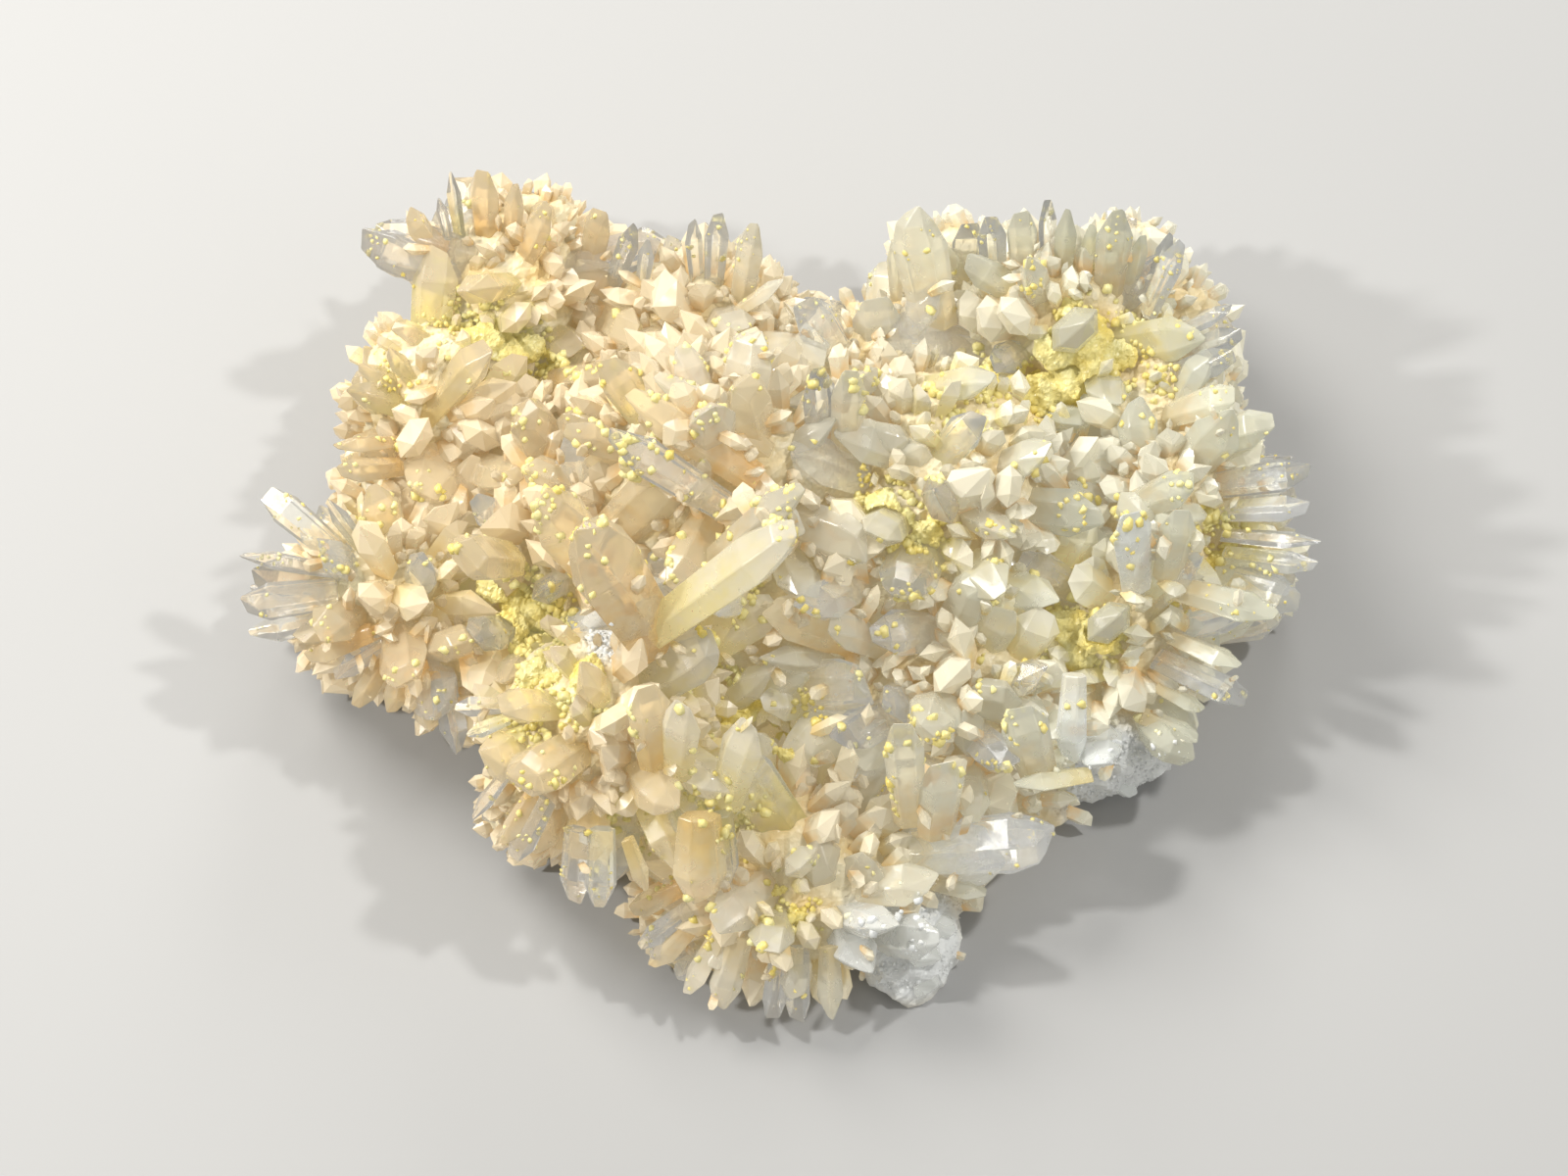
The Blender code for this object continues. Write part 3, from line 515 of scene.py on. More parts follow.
@dataclass
class Layout:
    """Where every crystal and lump of the specimen sits, in the same order as in its solid.

    Attributes:
        seed: Seed of the one stream of chance that the crystals are drawn from.
    """

    seed: int = SEED
    crystals: list[Crystal] = field(default_factory=list)
    lumps: list[Lump] = field(default_factory=list)

    def grow(self) -> None:
        """Fills in the lumps and then the crystals."""
        self.lumps = [Lump(from_sheet(*centre), radii) for centre, radii in MATRIX_LUMPS]
        chance = random.Random(self.seed)
        crystals = [self.named(row, chance) for row in RIM_CRYSTALS + INNER_CRYSTALS]
        crystals += self.planted_on_top(chance)
        crystals += self.planted_on_flanks(chance)
        crystals += [self.named(row, chance) for row in FILL_CRYSTALS]
        self.crystals = [crystal for crystal in crystals if crystal.tip.z > LOWEST_TIP]

    def named(self, row: Sequence[float], chance: random.Random) -> Crystal:
        """Makes a crystal from a row of the tables.

        Args:
            row: Tip, base, width and bluntness.
            chance: The stream that its turn and skew are drawn from.

        Returns:
            The crystal.
        """
        tip = from_sheet(*row[0:3])
        base = from_sheet(*row[3:6])
        return Crystal(tip, base, row[6], row[7], chance.uniform(-NAMED_ROLL, NAMED_ROLL),
                       chance.uniform(-NAMED_SKEW, NAMED_SKEW))

    def first_hit(self, start: Vector, heading: Vector) -> tuple[float, Vector, Vector] | None:
        """Finds the nearest place where a ray meets a lump.

        Args:
            start: Where the ray starts, in millimetres.
            heading: Which way it goes.

        Returns:
            Its distance, the place and the outward direction there, or None.
        """
        best = None
        for lump in self.lumps:
            scale = Vector([1.0 / radius for radius in lump.radii])
            offset = (start - lump.centre) * scale
            slope = heading * scale
            a = slope.dot(slope)
            b = offset.dot(slope)
            root = b * b - a * (offset.dot(offset) - 1.0)
            if root <= 0.0:
                continue
            distance = (-b - math.sqrt(root)) / a
            if distance > 0.0 and (best is None or distance < best[0]):
                point = start + heading * distance
                best = (distance, point, ((point - lump.centre) * scale * scale).normalized())
        return best

    def planted(self, point: Vector, outward: Vector, centres: list[Vector],
                chance: random.Random) -> Crystal:
        """Makes a crystal that starts under the surface and leans away from the nearest spray centre.

        Args:
            point: Where it comes out of the matrix.
            outward: The matrix's outward direction there.
            centres: The spray centres.
            chance: The stream that its shape is drawn from.

        Returns:
            The crystal.
        """
        centre = min(centres, key=lambda item: (item - point).length)
        heading = point - centre
        heading.z = 0.0
        heading = heading.normalized() * min(1.0, heading.length / PLANT_UPRIGHT_WITHIN)
        heading += outward * PLANT_OUTWARD
        heading.z += chance.uniform(*PLANT_RISE)
        heading += Vector([chance.uniform(-PLANT_LEAN, PLANT_LEAN) for axis in range(3)])
        heading.normalize()
        length = chance.uniform(*PLANT_LENGTH)
        width = length * chance.uniform(*PLANT_SLIMNESS)
        base = point - heading * PLANT_DEPTH
        while length > SHORTEST_PLANT and not inside_outline(base + heading * length):
            length -= PLANT_STEP
        return Crystal(base + heading * length, base, min(width, length * WIDEST_PLANT),
                       chance.uniform(*PLANT_BLUNT), chance.uniform(-PLANT_ROLL, PLANT_ROLL),
                       chance.uniform(-PLANT_SKEW, PLANT_SKEW))

    def planted_on_top(self, chance: random.Random) -> Iterator[Crystal]:
        """Plants crystals on a jittered grid over the side that the display view shows.

        Args:
            chance: The stream that they are drawn from.

        Yields:
            Each crystal.
        """
        centres = [from_sheet(*centre) for centre in SPRAY_CENTRES]
        eye = Vector((0.0, -math.cos(VIEW_TILT), math.sin(VIEW_TILT))) * VIEW_DISTANCE
        eye.z += VIEW_TARGET_HEIGHT
        for row in range(int(PLANT_SHEET[1] / PLANT_SPACING)):
            for column in range(int(PLANT_SHEET[0] / PLANT_SPACING)):
                place_in_row = column + 0.5 * (row % 2) + chance.uniform(-PLANT_JITTER, PLANT_JITTER)
                across = PLANT_FROM[0] + place_in_row * PLANT_SPACING
                down = PLANT_FROM[1] + (row + chance.uniform(-PLANT_JITTER, PLANT_JITTER)) * PLANT_SPACING
                heading = (from_sheet(across, down, 0.0) - eye).normalized()
                hit = self.first_hit(eye, heading)
                if hit and hit[1].z > LOWEST_ROOT:
                    yield self.planted(hit[1], hit[2], centres, chance)

    def planted_on_flanks(self, chance: random.Random) -> Iterator[Crystal]:
        """Plants crystals round the edge below the rim, where the display view doesn't reach.

        Args:
            chance: The stream that they are drawn from.

        Yields:
            Each crystal.
        """
        centres = [from_sheet(*centre) for centre in SPRAY_CENTRES]
        for row, height in enumerate(FLANK_HEIGHTS):
            for number in range(FLANK_COUNT):
                bearing = math.tau * (number + 0.5 * (row % 2)) / FLANK_COUNT
                bearing += chance.uniform(-FLANK_TURN, FLANK_TURN)
                outside = Vector((math.cos(bearing) * FLANK_START[0], math.sin(bearing) * FLANK_START[1],
                                  height + chance.uniform(-FLANK_SHIFT, FLANK_SHIFT)))
                hit = self.first_hit(outside, (Vector((0.0, 0.0, outside.z)) - outside).normalized())
                if hit:
                    yield self.planted(hit[1], hit[2], centres, chance)


# Crystals that are as clear as glass at their ends: where their tips are seen on the sheet.
CLEAR_TIPS = (
    (370, 240), (448, 202), (662, 245), (708, 225), (734, 218), (838, 305), (990, 228), (1068, 204),
    (1193, 238), (1204, 246), (1261, 320), (1259, 358), (1336, 475), (1335, 515), (1347, 553), (1344, 569),
    (1325, 618), (1270, 722), (1072, 851), (254, 645), (248, 615), (246, 568), (273, 504), (345, 695),
    (466, 768), (815, 1041), (788, 1039), (609, 926), (590, 919), (483, 835),
)
CLEAR_WITHIN = 22.0
# Where frosted white crystals stand: across, down and reach.
FROSTED_REGIONS = ((910, 960, 70), (1130, 800, 50), (930, 790, 30), (625, 650, 30), (1160, 550, 30),
                   (1170, 710, 50))
FROSTED_SHARE = 0.75
# Honey crystals stand left of here, within this much doubt, and these shares of each side are not clear.
HONEY_UNTIL = 760.0
HONEY_DOUBT = 200.0
HONEY_SHARE = 0.8
MILKY_SHARE = 0.85
# Where the matrix is white and sugary: across, down and reach.
WHITE_PATCHES = ((925, 965, 85), (1135, 795, 75), (1190, 780, 40), (625, 650, 34))
WHITE_SLOPE = 2.5
# Sulfur ends at this many times a patch's reach, and how fast it thickens inwards from there.
SULFUR_FADE = 1.5
SULFUR_SLOPE = 1.6
# How far above the base the crystals are cut off, in millimetres.
CRYSTALS_FROM = 0.03
FLATNESS = math.radians(2.0)
# Distances in metres that count as one point and as on the cut.
SAME_POINT = 1e-6
ON_PLANE = 1e-7
# How far along a crystal the sulfur round it is judged.
STAINED_AT = 0.55


@dataclass(frozen=True)
class CrystalPiece:
    """One mesh of crystals that look alike.

    Attributes:
        name: The piece's name.
        look: Which crystals are in it.
        bevel: How wide their rounded edges are, in millimetres.
    """

    name: str
    look: Look
    bevel: float


def sulfur_at(across: float, down: float) -> float:
    """Finds how thickly sulfur gathers at a place on the display sheet.

    Args:
        across: Place from the sheet's left, in tenths of a millimetre.
        down: Place from the sheet's top, in tenths of a millimetre.

    Returns:
        A number from 0 to about 1.2.
    """
    best = 0.0
    for x, y, reach, amount in SULFUR_PATCHES:
        share = math.hypot(across - x, down - y) / reach
        if share < SULFUR_FADE:
            best = max(best, amount * min(1.0, (SULFUR_FADE - share) * SULFUR_SLOPE))
    return best


def white_at(across: float, down: float) -> float:
    """Finds how white and sugary the matrix is at a place on the display sheet.

    Args:
        across: Place from the sheet's left, in tenths of a millimetre.
        down: Place from the sheet's top, in tenths of a millimetre.

    Returns:
        A number from 0 for honey ground to 1 for white.
    """
    near = max(1.0 - math.hypot(across - x, down - y) / reach for x, y, reach in WHITE_PATCHES)
    return max(0.0, min(1.0, near * WHITE_SLOPE))


def look_of(crystal: Crystal, chance: random.Random) -> Look:
    """Chooses how clear a crystal is from where its tip is seen.

    Args:
        crystal: The crystal.
        chance: The stream that settles the doubtful ones.

    Returns:
        Its look.
    """
    across, down = on_sheet(crystal.tip)
    roll = chance.random()
    if any(math.hypot(across - x, down - y) < CLEAR_WITHIN for x, y in CLEAR_TIPS):
        return Look.CLEAR
    if any(math.hypot(across - x, down - y) < reach and roll < FROSTED_SHARE
           for x, y, reach in FROSTED_REGIONS):
        return Look.FROSTED
    if across < HONEY_UNTIL + HONEY_DOUBT * (roll - 0.5):
        return Look.HONEY if roll < HONEY_SHARE else Look.CLEAR
    return Look.MILKY if roll < MILKY_SHARE else Look.CLEAR


def crystal_points(crystal: Crystal) -> list[Vector]:
    """Lists a crystal's corners: rings from base to neck, then the two ends of the ridge at its tip.

    Args:
        crystal: The crystal.

    Returns:
        Points in millimetres.
    """
    axis, side, face = crystal.frame()
    half_width = crystal.width / 2.0
    half_thickness = half_width * THICKNESS_SHARE
    steps = [(0.0, BASE_SHARE), (SHOULDER_AT + SHOULDER_RISE * crystal.blunt, 1.0)]
    if crystal.width >= NECK_WIDTH:
        steps.append((NECK_AT + NECK_RISE * crystal.blunt, NECK_SIZE[0] + NECK_SIZE[1] * crystal.blunt))
    section = HEXAGON if crystal.width >= RHOMB_WIDTH else RHOMB
    points = []
    for at, share in steps:
        middle = crystal.base + axis * (at * crystal.length) + side * (crystal.skew * half_width * at)
        points += [middle + side * (x * half_width * share) + face * (y * half_thickness * share)
                   for x, y in section]
    end = crystal.tip + side * (crystal.skew * half_width)
    ridge = side * (half_width * (RIDGE_SIZE[0] + RIDGE_SIZE[1] * crystal.blunt))
    drop = axis * (crystal.skew * half_width)
    return points + [end + ridge - drop, end - ridge + drop]


def place(point: Vector) -> Vector:
    """Turns a point of the layout into the row frame, in metres."""
    return (point + MOVED_BY) * MM


def hull_of(points: Sequence[Vector]) -> bmesh.types.BMesh:
    """Makes a closed convex mesh round points.

    Args:
        points: Points in metres.

    Returns:
        The mesh, with coplanar triangles merged.
    """
    shape = bmesh.new()
    verts = [shape.verts.new(point) for point in points]
    hull = bmesh.ops.convex_hull(shape, input=verts)
    spare = [item for item in hull["geom_interior"] if isinstance(item, bmesh.types.BMVert)]
    bmesh.ops.delete(shape, geom=spare, context="VERTS")
    bmesh.ops.dissolve_limit(shape, angle_limit=FLATNESS, verts=shape.verts[:], edges=shape.edges[:])
    return shape


def cut_flat(shape: bmesh.types.BMesh, height: float) -> None:
    """Cuts a closed mesh off flat at a height and closes the cut.

    Args:
        shape: The mesh, in metres.
        height: Height of the cut, in metres.
    """
    if min((vert.co.z for vert in shape.verts), default=1.0) >= height:
        return
    everything = shape.verts[:] + shape.edges[:] + shape.faces[:]
    cut = bmesh.ops.bisect_plane(shape, geom=everything, plane_co=(0.0, 0.0, height),
                                 plane_no=(0.0, 0.0, 1.0), clear_inner=True, dist=ON_PLANE)
    rim = [item for item in cut["geom_cut"] if isinstance(item, bmesh.types.BMEdge)]
    bmesh.ops.holes_fill(shape, edges=rim, sides=0)


def finished_mesh(name: str, shape: bmesh.types.BMesh) -> bpy.types.Mesh:
    """Turns a shape into a mesh.

    Args:
        name: The mesh's name.
        shape: The shape, which is freed.

    Returns:
        The mesh.
    """
    mesh = bpy.data.meshes.new(name)
    shape.to_mesh(mesh)
    shape.free()
    return mesh


def joined(objects: Sequence[bpy.types.Object]) -> bmesh.types.BMesh:
    """Puts several objects' meshes together in one shape."""
    shape = bmesh.new()
    for obj in objects:
        shape.from_mesh(obj.data)
    return shape


def keep_values(mesh: bpy.types.Mesh, name: str, values: Sequence) -> None:
    """Keeps one number or one vector for each of a mesh's points.

    Args:
        mesh: The mesh.
        name: The value's name.
        values: The numbers or vectors, in the order of the points.
    """
    numbers = np.asarray(values, np.float32)
    kind, key = ("FLOAT", "value") if numbers.ndim == 1 else ("FLOAT_VECTOR", "vector")
    mesh.attributes.new(name, kind, "POINT").data.foreach_set(key, numbers.ravel())


class MeshBuilder:
    """Collects closed shapes into one mesh, with a few values kept for each point."""

    def __init__(self, name: str) -> None:
        """Starts an empty mesh with a name."""
        self.name = name
        self.points: list[Vector] = []
        self.faces: list[list[int]] = []
        self.values: dict[str, list[float | Vector]] = {}

    def add(self, shape: bmesh.types.BMesh, values: dict[str, Callable[[Vector], float | Vector]]) -> None:
        """Adds a shape and frees it.

        Args:
            shape: A closed mesh in metres.
            values: For each number or vector kept, how to find it from a point.
        """
        start = len(self.points)
        shape.verts.index_update()
        for vert in shape.verts:
            self.points.append(vert.co.copy())
            for key, find in values.items():
                self.values.setdefault(key, []).append(find(vert.co))
        for face in shape.faces:
            self.faces.append([start + vert.index for vert in face.verts])
        shape.free()

    def finish(self) -> bpy.types.Mesh:
        """Makes the mesh.

        Returns:
            The mesh, flat-shaded, with its values as point attributes.
        """
        mesh = bpy.data.meshes.new(self.name)
        mesh.from_pydata(self.points, [], self.faces)
        for key, values in self.values.items():
            keep_values(mesh, key, values)
        mesh.validate()
        mesh.update()
        return mesh


def new_object(name: str, mesh: bpy.types.Mesh) -> bpy.types.Object:
    """Puts a mesh in the scene at the origin.

    Args:
        name: The object's name.
        mesh: Its mesh.

    Returns:
        The object.
    """
    obj = bpy.data.objects.new(name, mesh)
    bpy.context.scene.collection.objects.link(obj)
    return obj


def add_crystal(builder: MeshBuilder, crystal: Crystal, bevel: float, tone: float) -> None:
    """Adds one crystal with softened edges to a mesh.

    Args:
        builder: The mesh.
        crystal: The crystal.
        bevel: How wide its softened edges are, in millimetres.
        tone: A number from 0 to 1 that sets it apart from its neighbours.
    """
    shape = hull_of([place(point) for point in crystal_points(crystal)])
    cut_flat(shape, CRYSTALS_FROM * MM)
    if not shape.faces:
        shape.free()
        return
    bmesh.ops.bevel(shape, geom=shape.edges[:], offset=bevel * MM, segments=1, affect="EDGES",
                    clamp_overlap=True, profile=0.5)
    bmesh.ops.recalc_face_normals(shape, faces=shape.faces[:])
    axis, side, face = crystal.frame()
    base = place(crystal.base)

    def along(point: Vector) -> float:
        """How far along the crystal a point is, from 0 at the base to 1 at the tip."""
        return max(0.0, min(1.0, (point - base).dot(axis) / (crystal.length * MM)))

    def grown(point: Vector) -> Vector:
        """A point in the crystal's own directions, in millimetres."""
        offset = (point - base) / MM
        return Vector((offset.dot(side), offset.dot(face), offset.dot(axis)))

    yellow = sulfur_at(*on_sheet(crystal.base.lerp(crystal.tip, STAINED_AT)))
    builder.add(shape, {"along": along, "tone": lambda point: tone, "yellow": lambda point: yellow,
                        "grown": grown})


@dataclass(frozen=True)
class CrystalFinish:
    """How one kind of crystal looks.

    Attributes:
        name: The material's name.
        left: Colour at the specimen's left.
        right: Colour at its right.
        painted_shade: Painted shade: a darker amber that the crystal's colour turns towards its base, where
            shade falls between crystals.
        roughness: How blurred its reflections are.
        transmission: How much light goes through.
        grain: Height of the growth lines, in millimetres.
        painted_glow: Strength of a painted glow: the surface gives out its own colour as light all over,
            standing in for light scattered inside and lifting its shade.
    """

    name: str
    left: tuple[float, float, float]
    right: tuple[float, float, float]
    painted_shade: tuple[float, float, float]
    roughness: float
    transmission: float
    grain: float
    painted_glow: float


# Each finish's third colour is painted shade at a crystal's base, and its last number is the strength of a
# painted glow.
CRYSTAL_FINISHES = {
    Look.HONEY: CrystalFinish("honey_crystal", (0.95, 0.80, 0.54), (0.89, 0.84, 0.64), (0.90, 0.60, 0.24),
                              0.04, 0.68, 0.006, 0.12),
    Look.MILKY: CrystalFinish("milky_crystal", (0.94, 0.85, 0.68), (0.87, 0.86, 0.71), (0.88, 0.72, 0.42),
                              0.06, 0.60, 0.006, 0.11),
    Look.CLEAR: CrystalFinish("clear_crystal", (0.99, 0.95, 0.87), (0.97, 0.97, 0.93), (0.96, 0.87, 0.66),
                              0.02, 0.88, 0.002, 0.08),
    Look.FROSTED: CrystalFinish("frosted_crystal", (0.94, 0.92, 0.84), (0.90, 0.92, 0.88),
                                (0.88, 0.84, 0.70), 0.16, 0.50, 0.008, 0.09),
}
DRUSE_FINISH = CrystalFinish("druse_crystal", (0.94, 0.79, 0.54), (0.88, 0.84, 0.67), (0.90, 0.58, 0.22),
                             0.06, 0.22, 0.004, 0.12)
CRYSTAL_IOR = 1.56
# Where a crystal's colours, its painted shade and its wear begin and end: across the specimen in metres, and
# along a crystal.
COLOUR_SPAN = (-0.020, 0.030)
# Painted shade: the span of along-plus-noise over which a crystal's base turns darker amber, and the most it
# turns.
PAINTED_SHADE_SPAN = (1.1, 0.55)
PAINTED_SHADE_MOST = 0.8
STAIN_SPAN = (1.35, 0.75)
STAIN_MOST = 0.9
CLOUD_SCALE = 0.6
LINE_SCALE = 1.8
LINE_STRETCH = (2.0, 2.0, 0.35)
BLUR_SPAN = (0.42, 0.75)
BLUR_MOST = 0.3
STAIN_BLUR = 0.3
TONE_VALUES = (0.86, 1.1)
TONE_SHIFT = (37.0, 91.0, 53.0)
SULFUR_STAIN = (0.95, 0.86, 0.42)
CRYSTAL_PIECES = (
    CrystalPiece("honey_crystals", Look.HONEY, 0.10),
    CrystalPiece("milky_crystals", Look.MILKY, 0.10),
    CrystalPiece("clear_crystals", Look.CLEAR, 0.08),
    CrystalPiece("frosted_crystals", Look.FROSTED, 0.12),
)


class Tree:
    """A few short ways to build a node tree."""

    def __init__(self, tree: bpy.types.NodeTree) -> None:
        """Keeps the tree that nodes are added to."""
        self.tree = tree

    def node(self, kind: str, inputs: dict[str | int, object] | None = None,
             **settings: object) -> bpy.types.Node:
        """Adds a node.

        Args:
            kind: The node's type name.
            inputs: For each input, a value or the socket that feeds it.
            settings: The node's own settings.

        Returns:
            The node.
        """
        made = self.tree.nodes.new(kind)
        for key, value in settings.items():
            setattr(made, key, value)
        for key, value in (inputs or {}).items():
            if isinstance(value, bpy.types.NodeSocket):
                self.tree.links.new(value, made.inputs[key])
            else:
                made.inputs[key].default_value = value
        return made


def new_group(name: str, kind: str, inputs: dict[str, tuple[str, object]],
              outputs: dict[str, str]) -> tuple:
    """Makes an empty node group with named inputs and outputs.

    Args:
        name: The group's name.
        kind: The tree's type name.
        inputs: For each input, its socket type and default value.
        outputs: For each output, its socket type.

    Returns:
        The group, its tree helper, its input node and its output node.
    """
    group = bpy.data.node_groups.new(name, kind)
    for key, (socket, value) in inputs.items():
        made = group.interface.new_socket(key, in_out="INPUT", socket_type=socket)
        if value is not None:
            made.default_value = value
    for key, socket in outputs.items():
        group.interface.new_socket(key, in_out="OUTPUT", socket_type=socket)
    tree = Tree(group)
    return group, tree, tree.node("NodeGroupInput"), tree.node("NodeGroupOutput")


def crystal_colour_and_shade_group() -> bpy.types.NodeTree:
    """Makes the shader group that colours and roughens a crystal along its growth, and paints shade as darker
    amber towards its base.

    Returns:
        The group: named inputs for its colours and grain, and outputs for the shader.
    """
    colours = {"Left": (0.8, 0.6, 0.4, 1.0), "Right": (0.8, 0.8, 0.6, 1.0), "Deep": (0.5, 0.3, 0.1, 1.0),
               "Sulfur": (0.8, 0.7, 0.2, 1.0)}
    group, tree, given, result = new_group(
        "crystal_tone", "ShaderNodeTree",
        {**{name: ("NodeSocketColor", colour) for name, colour in colours.items()},
         "Roughness": ("NodeSocketFloat", 0.1), "Grain": ("NodeSocketFloat", 0.01)},
        {"Color": "NodeSocketColor", "Roughness": "NodeSocketFloat", "Normal": "NodeSocketVector"})
    spot = tree.node("ShaderNodeTexCoord").outputs["Object"]
    along = attribute(tree, "along", "Fac")
    tone = attribute(tree, "tone", "Fac")
    apart = vector_of(tree, *(maths(tree, "MULTIPLY", tone, shift) for shift in TONE_SHIFT))
    grown = vector_maths(tree, "ADD", attribute(tree, "grown", "Vector"), apart)
    across = tree.node("ShaderNodeSeparateXYZ", {0: spot}).outputs[0]
    colour = color_mix(tree, remap(tree, across, *COLOUR_SPAN, 0.0, 1.0), given.outputs["Left"],
                       given.outputs["Right"])
    cloud = noise_field(tree, grown, CLOUD_SCALE, 2.0)
    inward = maths(tree, "ADD", along, cloud)
    # Painted shade: the colour turns darker amber towards each crystal's base, where shade falls between
    # crystals.
    colour = color_mix(tree, remap(tree, inward, *PAINTED_SHADE_SPAN, 0.0, PAINTED_SHADE_MOST), colour, given.outputs["Deep"])
    stain = maths(tree, "MULTIPLY", attribute(tree, "yellow", "Fac"),
                  remap(tree, inward, *STAIN_SPAN, 0.0, STAIN_MOST))
    colour = color_mix(tree, stain, colour, given.outputs["Sulfur"])
    value = remap(tree, tone, 0.0, 1.0, *TONE_VALUES)
    colour = tree.node("ShaderNodeHueSaturation", {"Color": colour, "Value": value}).outputs[0]
    lines_at = tree.node("ShaderNodeMapping", {"Vector": grown, "Scale": LINE_STRETCH}).outputs[0]
    relief = noise_field(tree, lines_at, LINE_SCALE, 1.0)
    height = maths(tree, "MULTIPLY", given.outputs["Grain"], MM)
    bump = tree.node("ShaderNodeBump", {"Height": relief, "Distance": height}).outputs[0]
    blur = maths(tree, "ADD", remap(tree, cloud, *BLUR_SPAN, 0.0, BLUR_MOST),
                 maths(tree, "MULTIPLY", stain, STAIN_BLUR))
    tree.tree.links.new(colour, result.inputs["Color"])
    tree.tree.links.new(maths(tree, "ADD", given.outputs["Roughness"], blur), result.inputs["Roughness"])
    tree.tree.links.new(bump, result.inputs["Normal"])
    return group


def attribute(tree: Tree, name: str, output: str) -> bpy.types.NodeSocket:
    """Reads a value that the mesh keeps for each point."""
    return tree.node("ShaderNodeAttribute", attribute_name=name).outputs[output]


def maths(tree: Tree, operation: str, *values: object) -> bpy.types.NodeSocket:
    """Adds one sum, product or the like of numbers."""
    return tree.node("ShaderNodeMath", dict(enumerate(values)), operation=operation).outputs[0]


def vector_maths(tree: Tree, operation: str, *values: object) -> bpy.types.NodeSocket:
    """Adds one sum, difference or the like of vectors."""
    return tree.node("ShaderNodeVectorMath", dict(enumerate(values)), operation=operation).outputs[0]


def vector_of(tree: Tree, *parts: object) -> bpy.types.NodeSocket:
    """Puts three numbers together as a vector."""
    return tree.node("ShaderNodeCombineXYZ", dict(enumerate(parts))).outputs[0]


def noise_field(tree: Tree, at: bpy.types.NodeSocket, scale: float, detail: float) -> bpy.types.NodeSocket:
    """Adds a smooth noise that is read at a vector."""
    return tree.node("ShaderNodeTexNoise", {"Vector": at, "Scale": scale, "Detail": detail}).outputs[0]


def remap(tree: Tree, value: bpy.types.NodeSocket, start: float, end: float, low: float,
          high: float) -> bpy.types.NodeSocket:
    """Stretches a range of values to another.

    Args:
        tree: The tree it goes into.
        value: The value.
        start: Value that becomes low.
        end: Value that becomes high.
        low: Result at the start.
        high: Result at the end.

    Returns:
        The result's socket.
    """
    return tree.node("ShaderNodeMapRange", {"Value": value, "From Min": start, "From Max": end,
                                            "To Min": low, "To Max": high}).outputs[0]


def color_mix(tree: Tree, factor: bpy.types.NodeSocket, first: object,
              second: object) -> bpy.types.NodeSocket:
    """Adds a colour mix and finds its output.

    Args:
        tree: The tree it goes into.
        factor: How much of the second colour.
        first: A colour or the socket that gives it.
        second: A colour or the socket that gives it.

    Returns:
        The mixed colour's socket.
    """
    made = tree.node("ShaderNodeMix", data_type="RGBA")
    tree.tree.links.new(factor, made.inputs[0])
    for socket, value in ((made.inputs[6], first), (made.inputs[7], second)):
        if isinstance(value, bpy.types.NodeSocket):
            tree.tree.links.new(value, socket)
        else:
            socket.default_value = value
    return made.outputs[2]


def new_material(name: str, colour: Sequence[float]) -> tuple[bpy.types.Material, Tree, bpy.types.Node]:
    """Makes a material with a Principled shader.

    Args:
        name: The material's name.
        colour: Its plain colour.

    Returns:
        The material, its tree helper and its shader.
    """
    material = bpy.data.materials.new(name)
    material.use_nodes = True
    material.cycles.emission_sampling = "NONE"
    material.diffuse_color = (*colour, 1.0)
    shader = material.node_tree.nodes["Principled BSDF"]
    shader.inputs["Base Color"].default_value = (*colour, 1.0)
    return material, Tree(material.node_tree), shader


def crystal_material(finish: CrystalFinish, group: bpy.types.NodeTree) -> bpy.types.Material:
    """Makes one kind of crystal's material.

    Args:
        finish: Its colours and clearness.
        group: The shared shader group.

    Returns:
        The material.
    """
    material, tree, shader = new_material(finish.name, finish.left)
    made = tree.node("ShaderNodeGroup", node_tree=group)
    made.inputs["Left"].default_value = (*finish.left, 1.0)
    made.inputs["Right"].default_value = (*finish.right, 1.0)
    # Painted shade colour for the crystal's base.
    made.inputs["Deep"].default_value = (*finish.painted_shade, 1.0)
    made.inputs["Roughness"].default_value = finish.roughness
    made.inputs["Grain"].default_value = finish.grain
    made.inputs["Sulfur"].default_value = (*SULFUR_STAIN, 1.0)
    tree.tree.links.new(made.outputs["Color"], shader.inputs["Base Color"])
    tree.tree.links.new(made.outputs["Roughness"], shader.inputs["Roughness"])
    tree.tree.links.new(made.outputs["Normal"], shader.inputs["Normal"])
    # Painted glow: the surface gives out its own colour, painted shade included, as light, which lifts its
    # shade.
    tree.tree.links.new(made.outputs["Color"], shader.inputs["Emission Color"])
    shader.inputs["Emission Strength"].default_value = finish.painted_glow
    shader.inputs["Transmission Weight"].default_value = finish.transmission
    shader.inputs["IOR"].default_value = CRYSTAL_IOR
    return material


@dataclass(frozen=True)
class GrainFinish:
    """How a granular mass looks.

    Attributes:
        name: The material's name.
        pale: The paler colour of its noise clouds.
        rich: The richer colour of its noise clouds.
        roughness: How blurred its reflections are.
        painted_glow: Strength of a painted glow: the mass gives out its own colour as light all over, standing
            in for light scattered inside and lifting its shade.
    """

    name: str
    pale: tuple[float, float, float]
    rich: tuple[float, float, float]
    roughness: float
    painted_glow: float


# Each mass's last number is the strength of its painted glow.
SULFUR = GrainFinish("sulfur", (0.95, 0.87, 0.42), (0.94, 0.75, 0.20), 0.28, 0.08)
MATRIX = GrainFinish("white_matrix", (0.94, 0.84, 0.58), (0.90, 0.70, 0.36), 0.35, 0.07)
SUGAR_WHITE = (0.90, 0.91, 0.88)
# Clouds of colour and fine grain on a granular mass: noise scales, where clouds end, the grain's height.
GRAIN_CLOUD_SCALE = 260.0
GRAIN_CLOUD_SPAN = (0.35, 0.68)
FINE_SCALE = 2400.0
FINE_HEIGHT = 0.12
FINE_STRENGTH = 0.8


